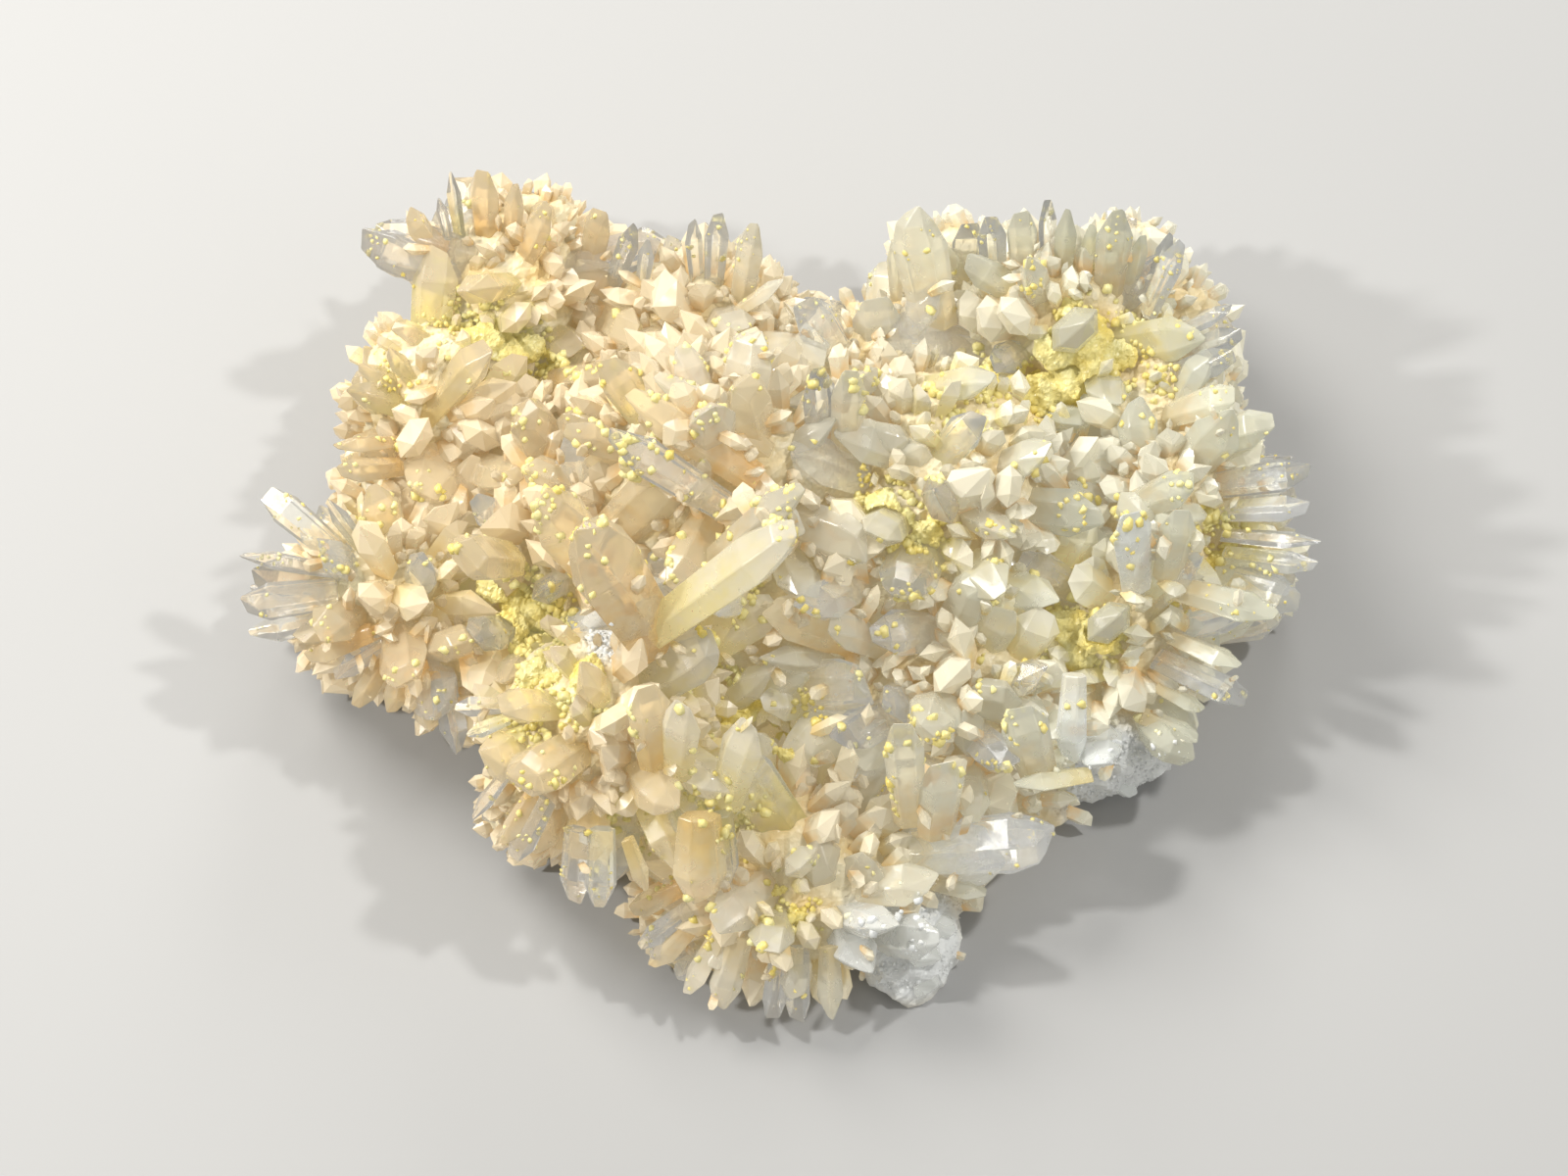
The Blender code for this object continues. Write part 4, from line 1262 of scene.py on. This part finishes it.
def grain_material(finish: GrainFinish) -> bpy.types.Material:
    """Makes a granular mass's material.

    Args:
        finish: Its colours.

    Returns:
        The material.
    """
    material, tree, shader = new_material(finish.name, finish.pale)
    at = tree.node("ShaderNodeTexCoord").outputs["Object"]
    share = remap(tree, noise_field(tree, at, GRAIN_CLOUD_SCALE, 2.0), *GRAIN_CLOUD_SPAN, 0.0, 1.0)
    colour = color_mix(tree, share, (*finish.pale, 1.0), (*finish.rich, 1.0))
    colour = color_mix(tree, attribute(tree, "white", "Fac"), colour, (*SUGAR_WHITE, 1.0))
    tree.tree.links.new(colour, shader.inputs["Base Color"])
    bump = tree.node("ShaderNodeBump", {"Height": noise_field(tree, at, FINE_SCALE, 1.0),
                                        "Distance": FINE_HEIGHT * MM, "Strength": FINE_STRENGTH})
    tree.tree.links.new(bump.outputs[0], shader.inputs["Normal"])
    shader.inputs["Roughness"].default_value = finish.roughness
    # Painted glow: the mass gives out its own colour as light, which lifts its shade.
    tree.tree.links.new(colour, shader.inputs["Emission Color"])
    shader.inputs["Emission Strength"].default_value = finish.painted_glow
    return material


def evaluated_mesh(obj: bpy.types.Object) -> bpy.types.Mesh:
    """Applies an object's modifiers to a new plain mesh.

    Args:
        obj: The object.

    Returns:
        The mesh.
    """
    bpy.context.view_layer.update()
    return bpy.data.meshes.new_from_object(obj.evaluated_get(bpy.context.evaluated_depsgraph_get()))


def apply_modifiers(obj: bpy.types.Object) -> None:
    """Replaces an object's mesh with the one its modifiers make."""
    mesh = evaluated_mesh(obj)
    obj.modifiers.clear()
    obj.data = mesh


def remeshed(obj: bpy.types.Object, voxel: float) -> None:
    """Remakes an object's mesh as one even skin.

    Args:
        obj: The object.
        voxel: The skin's spacing, in millimetres.
    """
    remesh = obj.modifiers.new("skin", "REMESH")
    remesh.mode = "VOXEL"
    remesh.voxel_size = voxel * MM
    apply_modifiers(obj)


def roughen(obj: bpy.types.Object, depth: float, size: float) -> None:
    """Pushes a mesh's points in and out by smooth noise.

    Args:
        obj: The object.
        depth: Most that a point moves, in millimetres.
        size: Size of the noise's bumps, in millimetres.
    """
    normals = [Vector(vert.normal) for vert in obj.data.vertices]
    for vert, normal in zip(obj.data.vertices, normals):
        at = vert.co / (size * MM)
        height = sum(noise.noise(at * 2.0 ** layer) / LAYER_FADE ** layer for layer in range(NOISE_LAYERS))
        vert.co += normal * (height * depth * MM)


# Spacing of the skins of matrix and crusts, and depth and size of their bumps, in millimetres.
MATRIX_VOXEL = 0.6
MATRIX_BUMPS = (0.7, 2.2)
CRUST_VOXEL = 0.22
CRUST_BUMPS = (0.35, 0.9)
NOISE_LAYERS = 3
LAYER_FADE = 1.7
LUMP_FINENESS = 3


def build_matrix(layout: Layout, material: bpy.types.Material) -> bpy.types.Object:
    """Builds the white granular mass that the crystals stand on.

    Args:
        layout: Where its lumps are.
        material: Its material.

    Returns:
        The object.
    """
    builder = MeshBuilder("white_matrix")
    for lump in layout.lumps:
        shape = bmesh.new()
        bmesh.ops.create_icosphere(shape, subdivisions=LUMP_FINENESS, radius=1.0)
        for vert in shape.verts:
            vert.co = place(lump.centre + vert.co * Vector(lump.radii))
        builder.add(shape, {})
    obj = new_object("white_matrix", builder.finish())
    remeshed(obj, MATRIX_VOXEL)
    roughen(obj, *MATRIX_BUMPS)
    shape = joined([obj])
    cut_flat(shape, 0.0)
    shape.to_mesh(obj.data)
    shape.free()
    keep_values(obj.data, "white", [white_at(*on_sheet(vert.co / MM - MOVED_BY))
                                    for vert in obj.data.vertices])
    obj.data.materials.append(material)
    return obj


def build_crystals(layout: Layout, materials: dict[Look, bpy.types.Material]) -> list[bpy.types.Object]:
    """Builds a mesh of each kind of crystal.

    Args:
        layout: Where they are.
        materials: A material for each look.

    Returns:
        The objects.
    """
    chance = random.Random(SEED + 2)
    looks = [(crystal, look_of(crystal, chance), chance.random()) for crystal in layout.crystals]
    made = []
    for piece in CRYSTAL_PIECES:
        builder = MeshBuilder(piece.name)
        for crystal, look, tone in looks:
            if look is piece.look:
                add_crystal(builder, crystal, piece.bevel, tone)
        obj = new_object(piece.name, builder.finish())
        obj.data.materials.append(materials[piece.look])
        made.append(obj)
    return made


@dataclass(frozen=True)
class Crop:
    """Small pieces of one kind, spread over a skin.

    Attributes:
        name: The mesh's name.
        share: Name of the skin's value that says how thickly they stand, from 0 to 1.
        spacing: Least distance between two, in millimetres.
        sizes: Smallest and largest scale.
        lean: Most that one is turned aside, in radians.
        seed: Seed of where they stand.
    """

    name: str
    share: str
    spacing: float
    sizes: tuple[float, float]
    lean: float
    seed: int


CROPS = (
    Crop("second_growth", "bare", 1.9, (0.75, 1.5), 0.50, 11),
    Crop("druse", "cleft", 1.3, (0.36, 0.82), 0.65, 12),
)
SULFUR_CROP = Crop("sulfur_grains", "sulfur", 0.5, (0.34, 0.90), 1.5, 13)
SUGAR_CROP = Crop("matrix_sugar", "sugar", 0.42, (0.25, 0.6), 1.5, 15)
SKIN_SPACING = 0.8
EDGE_ROOM = 60.0
CLUMPING = 350.0
# Most pieces on a square metre, how much the sizes favour small ones, and a span of picks wider than any
# count of shapes.
MOST_PIECES = 4.0e6
SMALL_FAVOUR = 1.8
PICKS = 99
RANDOM_SOCKETS = {"FLOAT_VECTOR": 0, "FLOAT": 1, "INT": 2}


def skin_value(tree: Tree, name: object, kind: str = "FLOAT") -> bpy.types.NodeSocket:
    """Reads a value that the skin keeps for each point."""
    return tree.node("GeometryNodeInputNamedAttribute", {"Name": name}, data_type=kind).outputs[0]


def random_field(tree: Tree, kind: str, low: object, high: object,
                 seed: bpy.types.NodeSocket) -> bpy.types.NodeSocket:
    """Draws a random value for each piece.

    Args:
        tree: The tree it goes into.
        kind: The value's data type.
        low: Least value.
        high: Greatest value.
        seed: The socket that gives the seed.

    Returns:
        The value's socket.
    """
    at = RANDOM_SOCKETS[kind]
    made = tree.node("FunctionNodeRandomValue", {2 * at: low, 2 * at + 1: high, "Seed": seed},
                     data_type=kind)
    return made.outputs[at]


def outside_box(tree: Tree, middle: bpy.types.NodeSocket,
                reach: bpy.types.NodeSocket) -> bpy.types.NodeSocket:
    """Tells which pieces reach out of a box.

    Args:
        tree: The tree it goes into.
        middle: The socket that gives the box's middle.
        reach: The socket that gives its half sizes.

    Returns:
        A socket that is true at every point of such a piece.
    """
    off = vector_maths(tree, "SUBTRACT", tree.node("GeometryNodeInputPosition").outputs[0], middle)
    off = vector_maths(tree, "SUBTRACT", vector_maths(tree, "ABSOLUTE", off), reach)
    off = vector_maths(tree, "MAXIMUM", off, (0.0, 0.0, 0.0))
    far = tree.node("ShaderNodeVectorMath", {0: off}, operation="LENGTH").outputs["Value"]
    total = tree.node("GeometryNodeAccumulateField", {
        "Value": far, "Group ID": tree.node("GeometryNodeInputMeshIsland").outputs["Island Index"]})
    return maths(tree, "GREATER_THAN", total.outputs["Total"], 0.0)


def spread_group() -> bpy.types.NodeTree:
    """Makes the geometry group that stands small pieces on a skin.

    Returns:
        The group: named inputs for the pieces, their spacing, sizes, lean and seed.
    """
    group, tree, given, result = new_group(
        "spread", "GeometryNodeTree",
        {"Skin": ("NodeSocketGeometry", None), "Pieces": ("NodeSocketCollection", None),
         "Share": ("NodeSocketString", "everywhere"), "Spacing": ("NodeSocketFloat", 0.001),
         "Smallest": ("NodeSocketFloat", 0.5), "Largest": ("NodeSocketFloat", 1.0),
         "Lean": ("NodeSocketFloat", 0.5), "Seed": ("NodeSocketInt", 1),
         "Middle": ("NodeSocketVector", None), "Reach": ("NodeSocketVector", None),
         "Material": ("NodeSocketMaterial", None)},
        {"Geometry": "NodeSocketGeometry"})
    seed, smallest, lean = (given.outputs[name] for name in ("Seed", "Smallest", "Lean"))
    spots = tree.node("GeometryNodeDistributePointsOnFaces", {
        "Mesh": given.outputs["Skin"], "Distance Min": given.outputs["Spacing"],
        "Density Max": MOST_PIECES, "Density Factor": skin_value(tree, given.outputs["Share"]),
        "Seed": seed}, distribute_method="POISSON")
    upright = tree.node("FunctionNodeAlignRotationToVector",
                        {"Vector": skin_value(tree, "outward", "FLOAT_VECTOR")}, axis="Z")
    back = maths(tree, "MULTIPLY", lean, -1.0)
    turn = random_field(tree, "FLOAT_VECTOR", vector_of(tree, back, back, 0.0),
                        vector_of(tree, lean, lean, math.tau), seed)
    aside = tree.node("FunctionNodeEulerToRotation", {0: turn})
    turned = tree.node("FunctionNodeRotateRotation", {
        "Rotation": upright.outputs[0], "Rotate By": aside.outputs[0]}, rotation_space="LOCAL")
    grade = maths(tree, "POWER", random_field(tree, "FLOAT", 0.0, 1.0, seed), SMALL_FAVOUR)
    span = maths(tree, "SUBTRACT", given.outputs["Largest"], smallest)
    size = maths(tree, "MULTIPLY_ADD", grade, span, smallest)
    size = maths(tree, "MULTIPLY", size, skin_value(tree, "room"))
    pieces = tree.node("GeometryNodeCollectionInfo", {
        "Collection": given.outputs["Pieces"], "Separate Children": True, "Reset Children": True})
    stood = tree.node("GeometryNodeInstanceOnPoints", {
        "Points": spots.outputs["Points"], "Instance": pieces.outputs[0], "Pick Instance": True,
        "Instance Index": random_field(tree, "INT", 0, PICKS, seed), "Rotation": turned.outputs[0],
        "Scale": size})
    toned = tree.node("GeometryNodeStoreNamedAttribute", {
        "Geometry": stood.outputs[0], "Name": "tone", "Value": random_field(tree, "FLOAT", 0.0, 1.0, seed)},
                      data_type="FLOAT", domain="INSTANCE")
    real = tree.node("GeometryNodeRealizeInstances", {"Geometry": toned.outputs[0]})
    inside = tree.node("GeometryNodeDeleteGeometry", {
        "Geometry": real.outputs[0],
        "Selection": outside_box(tree, given.outputs["Middle"], given.outputs["Reach"])})
    painted = tree.node("GeometryNodeSetMaterial", {
        "Geometry": inside.outputs[0], "Material": given.outputs["Material"]})
    tree.tree.links.new(painted.outputs[0], result.inputs["Geometry"])
    return group


def spread(skin: bpy.types.Object, crop: Crop, pieces: bpy.types.Collection, material: bpy.types.Material,
           group: bpy.types.NodeTree) -> bpy.types.Mesh:
    """Stands a crop of small pieces on a skin.

    Args:
        skin: The object they stand on.
        crop: Which pieces, how thick and how large.
        pieces: The shapes to choose from.
        material: Their material.
        group: The geometry group.

    Returns:
        One plain mesh of them all.
    """
    stand = skin.modifiers.new("spread", "NODES")
    stand.node_group = group
    low, high = (Vector(corner) for corner in CAD_BOX)
    values = {"Pieces": pieces, "Share": crop.share, "Spacing": crop.spacing * MM,
              "Smallest": crop.sizes[0], "Largest": crop.sizes[1], "Lean": crop.lean, "Seed": crop.seed,
              "Material": material, "Middle": (low + high) / 2.0, "Reach": (high - low) / 2.0}
    for item in group.interface.items_tree:
        if item.item_type == "SOCKET" and item.in_out == "INPUT" and item.name in values:
            stand[item.identifier] = values[item.name]
    mesh = evaluated_mesh(skin)
    skin.modifiers.remove(stand)
    mesh.name = crop.name
    return mesh


# How long, wide, blunt, turned and skew the small crystals are, and how deep they reach into the skin.
SMALL_COUNT = 7
SMALL_LENGTHS = (2.9, 4.4)
SMALL_WIDTHS = (2.7, 4.0)
SMALL_BLUNTS = (0.35, 1.1)
SMALL_ROLLS = (-0.4, 0.4)
SMALL_SKEWS = (-0.3, 0.3)
SMALL_DEPTH = 1.2
# Corners of a grain, how flat it is along each axis, and how far out its corners are.
GRAIN_COUNT = 6
GRAIN_CORNERS = 18
GRAIN_FLATNESS = (1.0, 0.85, 0.75)
GRAIN_REACH = (0.85, 1.0)


def crystal_shapes(count: int) -> bpy.types.Collection:
    """Makes a few small crystals to choose from, one size unit being 2.4 mm wide.

    Args:
        count: How many.

    Returns:
        Their collection, which isn't shown.
    """
    chance = random.Random(SEED + 3)
    shapes = bpy.data.collections.new("small_crystals")
    for number in range(count):
        length = chance.uniform(*SMALL_LENGTHS)
        crystal = Crystal(Vector((0.0, 0.0, length)), Vector((0.0, 0.0, -SMALL_DEPTH)),
                          chance.uniform(*SMALL_WIDTHS), chance.uniform(*SMALL_BLUNTS),
                          chance.uniform(*SMALL_ROLLS), chance.uniform(*SMALL_SKEWS))
        builder = MeshBuilder(f"small_crystal_{number}")
        shape = hull_of([point * MM for point in crystal_points(crystal)])
        bmesh.ops.recalc_face_normals(shape, faces=shape.faces[:])
        builder.add(shape, {"along": lambda point, top=length: max(0.0, point.z / (top * MM)),
                            "grown": lambda point: point / MM})
        shapes.objects.link(bpy.data.objects.new(builder.name, builder.finish()))
    return shapes


def grain_shapes(count: int) -> bpy.types.Collection:
    """Makes a few rounded grains to choose from, one size unit being 2 mm across.

    Args:
        count: How many.

    Returns:
        Their collection, which isn't shown.
    """
    chance = random.Random(SEED + 4)
    shapes = bpy.data.collections.new("grains")
    for number in range(count):
        points = []
        for step in range(GRAIN_CORNERS):
            point = Vector([chance.gauss(0.0, 1.0) for axis in range(3)]).normalized()
            point = Vector([part * flat for part, flat in zip(point, GRAIN_FLATNESS)])
            points.append(point * chance.uniform(*GRAIN_REACH) * MM)
        shape = hull_of(points)
        bmesh.ops.recalc_face_normals(shape, faces=shape.faces[:])
        mesh = finished_mesh(f"grain_{number}", shape)
        mesh.polygons.foreach_set("use_smooth", [True] * len(mesh.polygons))
        shapes.objects.link(bpy.data.objects.new(mesh.name, mesh))
    return shapes


def remove_shapes(shapes: bpy.types.Collection) -> None:
    """Removes a collection of shapes once nothing stands on them."""
    for obj in list(shapes.objects):
        bpy.data.objects.remove(obj, do_unlink=True)
    bpy.data.collections.remove(shapes)


@dataclass
class Skin:
    """One even skin over matrix and crystals that small pieces stand on.

    Attributes:
        obj: The skin itself, which isn't shown.
    """

    obj: bpy.types.Object

    @classmethod
    def over(cls, name: str, objects: Sequence[bpy.types.Object], spacing: float) -> "Skin":
        """Makes a skin over several objects.

        Args:
            name: Its name.
            objects: What it covers.
            spacing: Its spacing, in millimetres.

        Returns:
            The skin.
        """
        skin = cls(new_object(name, finished_mesh(name, joined(objects))))
        remeshed(skin.obj, spacing)
        return skin

    def arrays(self) -> tuple[np.ndarray, np.ndarray, np.ndarray]:
        """Reads its points, outward directions and edges.

        Returns:
            Points in metres, directions, and pairs of point numbers.
        """
        mesh = self.obj.data
        points = np.empty(len(mesh.vertices) * 3)
        mesh.vertices.foreach_get("co", points)
        normals = np.empty(len(mesh.vertices) * 3)
        mesh.vertices.foreach_get("normal", normals)
        edges = np.empty(len(mesh.edges) * 2, np.int64)
        mesh.edges.foreach_get("vertices", edges)
        return points.reshape(-1, 3), normals.reshape(-1, 3), edges.reshape(-1, 2)

    def keep(self, name: str, values: np.ndarray) -> None:
        """Keeps one number or one vector for each point."""
        keep_values(self.obj.data, name, values)


def smoothed(points: np.ndarray, edges: np.ndarray, rounds: int) -> np.ndarray:
    """Evens out values over a mesh's edges.

    Args:
        points: One row of values for each point.
        edges: Pairs of point numbers.
        rounds: How many times each takes its neighbours' average.

    Returns:
        The evened values.
    """
    count = np.bincount(edges.ravel(), minlength=len(points)).clip(1)[:, None]
    for step in range(rounds):
        total = np.zeros_like(points)
        for axis in range(points.shape[1]):
            total[:, axis] = (np.bincount(edges[:, 0], points[edges[:, 1], axis], len(points))
                              + np.bincount(edges[:, 1], points[edges[:, 0], axis], len(points)))
        points = 0.5 * points + 0.5 * total / count
    return points


def outline_room(places: np.ndarray) -> np.ndarray:
    """Finds how far places on the display sheet are from the outline.

    Args:
        places: Rows of across and down.

    Returns:
        Distances in tenths of a millimetre.
    """
    corners = np.array(OUTLINE, float)
    best = np.full(len(places), 1e9)
    for start, end in zip(corners, np.roll(corners, -1, axis=0)):
        side = end - start
        share = ((places - start) @ side / (side @ side)).clip(0.0, 1.0)
        best = np.minimum(best, np.linalg.norm(places - start - share[:, None] * side, axis=1))
    return best


# Where small growths may stand. Rooms to the box's sides and the floor and distances from the large
# crystals are in millimetres. Slopes are the upward part of the outward direction. The rest are shares.
HOLLOW_ROUNDS = 14
SIDE_ROOM = 1.0
FLOOR_ROOM = 1.6
STEEPEST = -0.75
SULFUR_STEEPEST = -0.1
BARE_AWAY = 0.9
SUGAR_AWAY = 0.5
SUGAR_FROM = 0.2
SULFUR_COVER = 0.85
COVER_FROM = 0.35
COVER_SLOPE = 2.5
WHITE_COVER = 0.8
CLEFT_LEVEL = 0.10
CLEFT_LEAST = 0.03
HOLLOW_GAIN = 1.4
BARE_DRUSE = 0.9
RIM_DRUSE = 0.2
RIM_FADE = 30.0
SULFUR_FROM = 0.5
SULFUR_GAIN = 2.4
SULFUR_ON_FLAT = 0.45
RIM_SIZE = 0.45
SPRAY_PULL = 0.6
UPWARD_PULL = np.array((0.0, 0.0, 0.15))


def build_skin(matrix: bpy.types.Object, crystals: Sequence[bpy.types.Object]) -> Skin:
    """Makes the skin that the small growths stand on, with how thickly each kind stands where.

    Args:
        matrix: The white mass.
        crystals: The meshes of large crystals.

    Returns:
        The skin.
    """
    skin = Skin.over("skin", [matrix, *crystals], SKIN_SPACING)
    points, normals, edges = skin.arrays()
    hollow = ((smoothed(points, edges, HOLLOW_ROUNDS) - points) * normals).sum(axis=1) / MM
    shape = joined(crystals)
    tree = BVHTree.FromBMesh(shape)
    shape.free()
    away = np.array([tree.find_nearest(Vector(point))[3] for point in points]) / MM
    local = points / MM - np.array(MOVED_BY)
    places = np.array([on_sheet(Vector(point)) for point in local])
    thick = np.array([sulfur_at(*spot) for spot in places])
    white = np.array([white_at(*spot) for spot in places])
    rim = outline_room(places)
    low, high = np.array(CAD_BOX[0]) / MM, np.array(CAD_BOX[1]) / MM
    inside = np.minimum(points / MM - low, high - points / MM)
    clear = ((inside[:, :2].min(axis=1) > SIDE_ROOM) * (points[:, 2] / MM > FLOOR_ROOM)
             * (normals[:, 2] > STEEPEST))
    open_ground = 1.0 - SULFUR_COVER * ((thick - COVER_FROM) * COVER_SLOPE).clip(0.0, 1.0)
    bare = (away > BARE_AWAY).astype(float) * clear
    skin.keep("bare", bare * open_ground * (1.0 - white.clip(0.0, 1.0)))
    cleft = np.clip(CLEFT_LEVEL + hollow * HOLLOW_GAIN, CLEFT_LEAST, 1.0) * (away < BARE_AWAY)
    cleft = (cleft + BARE_DRUSE * (away >= BARE_AWAY)) * clear
    inward = RIM_DRUSE + (1.0 - RIM_DRUSE) * (rim / RIM_FADE).clip(0.0, 1.0)
    skin.keep("cleft", cleft * open_ground * (1.0 - WHITE_COVER * white.clip(0.0, 1.0)) * inward)
    skin.keep("white", white)
    skin.keep("sugar", (white > SUGAR_FROM) * (away > SUGAR_AWAY) * clear)
    clump = np.array([noise.noise(Vector(point) * CLUMPING) for point in points])
    sulfur = (thick * (1.0 + clump) - SULFUR_FROM) * SULFUR_GAIN * (SULFUR_ON_FLAT + hollow * HOLLOW_GAIN)
    skin.keep("sulfur", np.clip(sulfur, 0.0, 1.0) * clear * (normals[:, 2] > SULFUR_STEEPEST))
    skin.keep("yellow", thick.clip(0.0, 1.0))
    skin.keep("room", RIM_SIZE + (1.0 - RIM_SIZE) * (rim / EDGE_ROOM).clip(0.0, 1.0))
    centres = np.array([from_sheet(*centre) for centre in SPRAY_CENTRES])
    spray = local[:, None, :] - centres[None, :, :]
    nearest = np.linalg.norm(spray, axis=2).argmin(axis=1)
    lean = spray[np.arange(len(local)), nearest]
    lean /= np.linalg.norm(lean, axis=1, keepdims=True).clip(0.001)
    skin.keep("outward", normals + SPRAY_PULL * lean + UPWARD_PULL)
    return skin


def build_growths(skin: Skin, druse: bpy.types.Material, sulfur: bpy.types.Material,
                  white: bpy.types.Material, group: bpy.types.NodeTree) -> list[bpy.types.Object]:
    """Builds the small crystals and grains that stand on the skin.

    Args:
        skin: The skin.
        druse: The small crystals' material.
        sulfur: The sulfur's material.
        white: The matrix's material.
        group: The geometry group.

    Returns:
        The objects: two crops of crystals, the sugary matrix and the sulfur.
    """
    small = crystal_shapes(SMALL_COUNT)
    grains = grain_shapes(GRAIN_COUNT)
    made = [new_object(crop.name, spread(skin.obj, crop, small, druse, group)) for crop in CROPS]
    made.append(new_object(SUGAR_CROP.name, spread(skin.obj, SUGAR_CROP, grains, white, group)))
    made.append(new_object(SULFUR_CROP.name, spread(skin.obj, SULFUR_CROP, grains, sulfur, group)))
    remove_shapes(small)
    remove_shapes(grains)
    bpy.data.objects.remove(skin.obj, do_unlink=True)
    for obj in made:
        LOG.info("%s: %d faces", obj.name, len(obj.data.polygons))
    return made


def build_crusts(nodes: dict[str, bpy.types.Object],
                 material: bpy.types.Material) -> list[bpy.types.Object]:
    """Builds a granular crust over each sulfur solid.

    Args:
        nodes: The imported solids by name.
        material: The sulfur's material.

    Returns:
        The crusts, named for the solids that they replace.
    """
    made = []
    for name in sorted(nodes):
        if not name.startswith("sulfur_crust"):
            continue
        shape = joined([nodes[name]])
        bmesh.ops.remove_doubles(shape, verts=shape.verts[:], dist=SAME_POINT)
        obj = new_object(name + "_grains", finished_mesh(name + "_grains", shape))
        remeshed(obj, CRUST_VOXEL)
        roughen(obj, *CRUST_BUMPS)
        obj.data.materials.clear()
        obj.data.materials.append(material)
        made.append(obj)
    return made


FLOOR_REACH = 3.0
FLOOR_COLOUR = (0.52, 0.515, 0.50)
FLOOR_ROUGHNESS = 0.9


def build_stage() -> bpy.types.Object:
    """Builds the pale floor.

    Returns:
        The floor.
    """
    shape = bmesh.new()
    bmesh.ops.create_grid(shape, x_segments=1, y_segments=1, size=FLOOR_REACH)
    floor = new_object("floor", finished_mesh("floor", shape))
    material, _, shader = new_material("pale_floor", FLOOR_COLOUR)
    shader.inputs["Roughness"].default_value = FLOOR_ROUGHNESS
    floor.data.materials.append(material)
    return floor


@dataclass(frozen=True)
class Softbox:
    """One soft studio light.

    Attributes:
        name: Its name.
        place: Where it is, in metres.
        size: How wide it is, in metres.
        power: How strong it is, in watts.
        colour: Its colour.
    """

    name: str
    place: tuple[float, float, float]
    size: float
    power: float
    colour: tuple[float, float, float]


SOFTBOXES = (
    Softbox("key_light", (-0.28, 0.22, 0.38), 0.24, 1.9, (1.0, 0.98, 0.95)),
    Softbox("fill_light", (0.50, -0.20, 0.50), 0.50, 0.55, (0.97, 0.99, 1.0)),
    Softbox("back_light", (0.10, 0.60, 0.30), 0.25, 1.2, (1.0, 1.0, 1.0)),
    Softbox("left_glint", (-0.45, -0.05, 0.42), 0.04, 1.5, (1.0, 1.0, 1.0)),
    Softbox("right_glint", (0.35, 0.12, 0.60), 0.04, 1.5, (1.0, 1.0, 1.0)),
)
SURROUND_COLOUR = (1.0, 0.99, 0.96)
SURROUND_STRENGTH = 0.26
# How often light may bounce in all and within crystals, and how often off dull and off shiny surfaces.
MOST_BOUNCES = 4
SURFACE_BOUNCES = 1
LENS = 100.0
SENSOR_WIDTH = 36.0


def build_lights() -> None:
    """Places the lights and a dim, even surround."""
    for softbox in SOFTBOXES:
        light = bpy.data.lights.new(softbox.name, "AREA")
        light.size = softbox.size
        light.energy = softbox.power
        light.color = softbox.colour
        lamp = bpy.data.objects.new(softbox.name, light)
        lamp.location = softbox.place
        lamp.rotation_euler = (-Vector(softbox.place)).to_track_quat("-Z", "Y").to_euler()
        bpy.context.scene.collection.objects.link(lamp)
    world = bpy.data.worlds.new("studio")
    world.use_nodes = True
    surround = world.node_tree.nodes["Background"]
    surround.inputs["Color"].default_value = (*SURROUND_COLOUR, 1.0)
    surround.inputs["Strength"].default_value = SURROUND_STRENGTH
    bpy.context.scene.world = world
    bpy.context.scene.view_settings.view_transform = "Standard"
    paths = bpy.context.scene.cycles
    paths.max_bounces = MOST_BOUNCES
    paths.transmission_bounces = MOST_BOUNCES
    paths.diffuse_bounces = SURFACE_BOUNCES
    paths.glossy_bounces = SURFACE_BOUNCES


def build_camera() -> None:
    """Places the camera of the display view."""
    camera = bpy.data.objects.new("camera", bpy.data.cameras.new("camera"))
    camera.data.lens = LENS
    camera.data.sensor_width = SENSOR_WIDTH
    camera.data.dof.use_dof = False
    target = (MOVED_BY + Vector((0.0, 0.0, VIEW_TARGET_HEIGHT))) * MM
    back = Vector((0.0, -math.cos(VIEW_TILT), math.sin(VIEW_TILT)))
    camera.location = target + back * (VIEW_DISTANCE * MM)
    camera.rotation_euler = (math.pi / 2.0 - VIEW_TILT, 0.0, 0.0)
    bpy.context.scene.collection.objects.link(camera)
    bpy.context.scene.camera = camera


def write_sizes() -> None:
    """Logs the solid's box and the finished look's box side by side."""
    rows = {"cad": [list(corner) for corner in CAD_BOX], "scene": [list(corner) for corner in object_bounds()]}
    LOG.info("solid %s, look %s", rows["cad"], rows["scene"])


def main() -> None:
    """Builds the specimen, its finishes, the stage and the view."""
    logging.basicConfig(level=logging.INFO, format="%(message)s")
    layout = Layout()
    layout.grow()
    LOG.info("%d crystals on %d lumps", len(layout.crystals), len(layout.lumps))
    tone = crystal_colour_and_shade_group()
    group = spread_group()
    materials = {look: crystal_material(finish, tone) for look, finish in CRYSTAL_FINISHES.items()}
    sulfur = grain_material(SULFUR)
    white = grain_material(MATRIX)
    crystals = build_crystals(layout, materials)
    matrix = build_matrix(layout, white)
    druse = crystal_material(DRUSE_FINISH, tone)
    growths = build_growths(build_skin(matrix, crystals), druse, sulfur, white, group)
    for piece in (*crystals, matrix, *growths):
        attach(piece, "root")
    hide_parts("crystal_cluster")
    for crust in build_crusts(frame["nodes"], sulfur):
        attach(crust, "root")
        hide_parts(crust.name.removesuffix("_grains"))
    build_stage()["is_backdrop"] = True
    build_lights()
    build_camera()
    write_sizes()


if __name__ == "__main__":
    main()
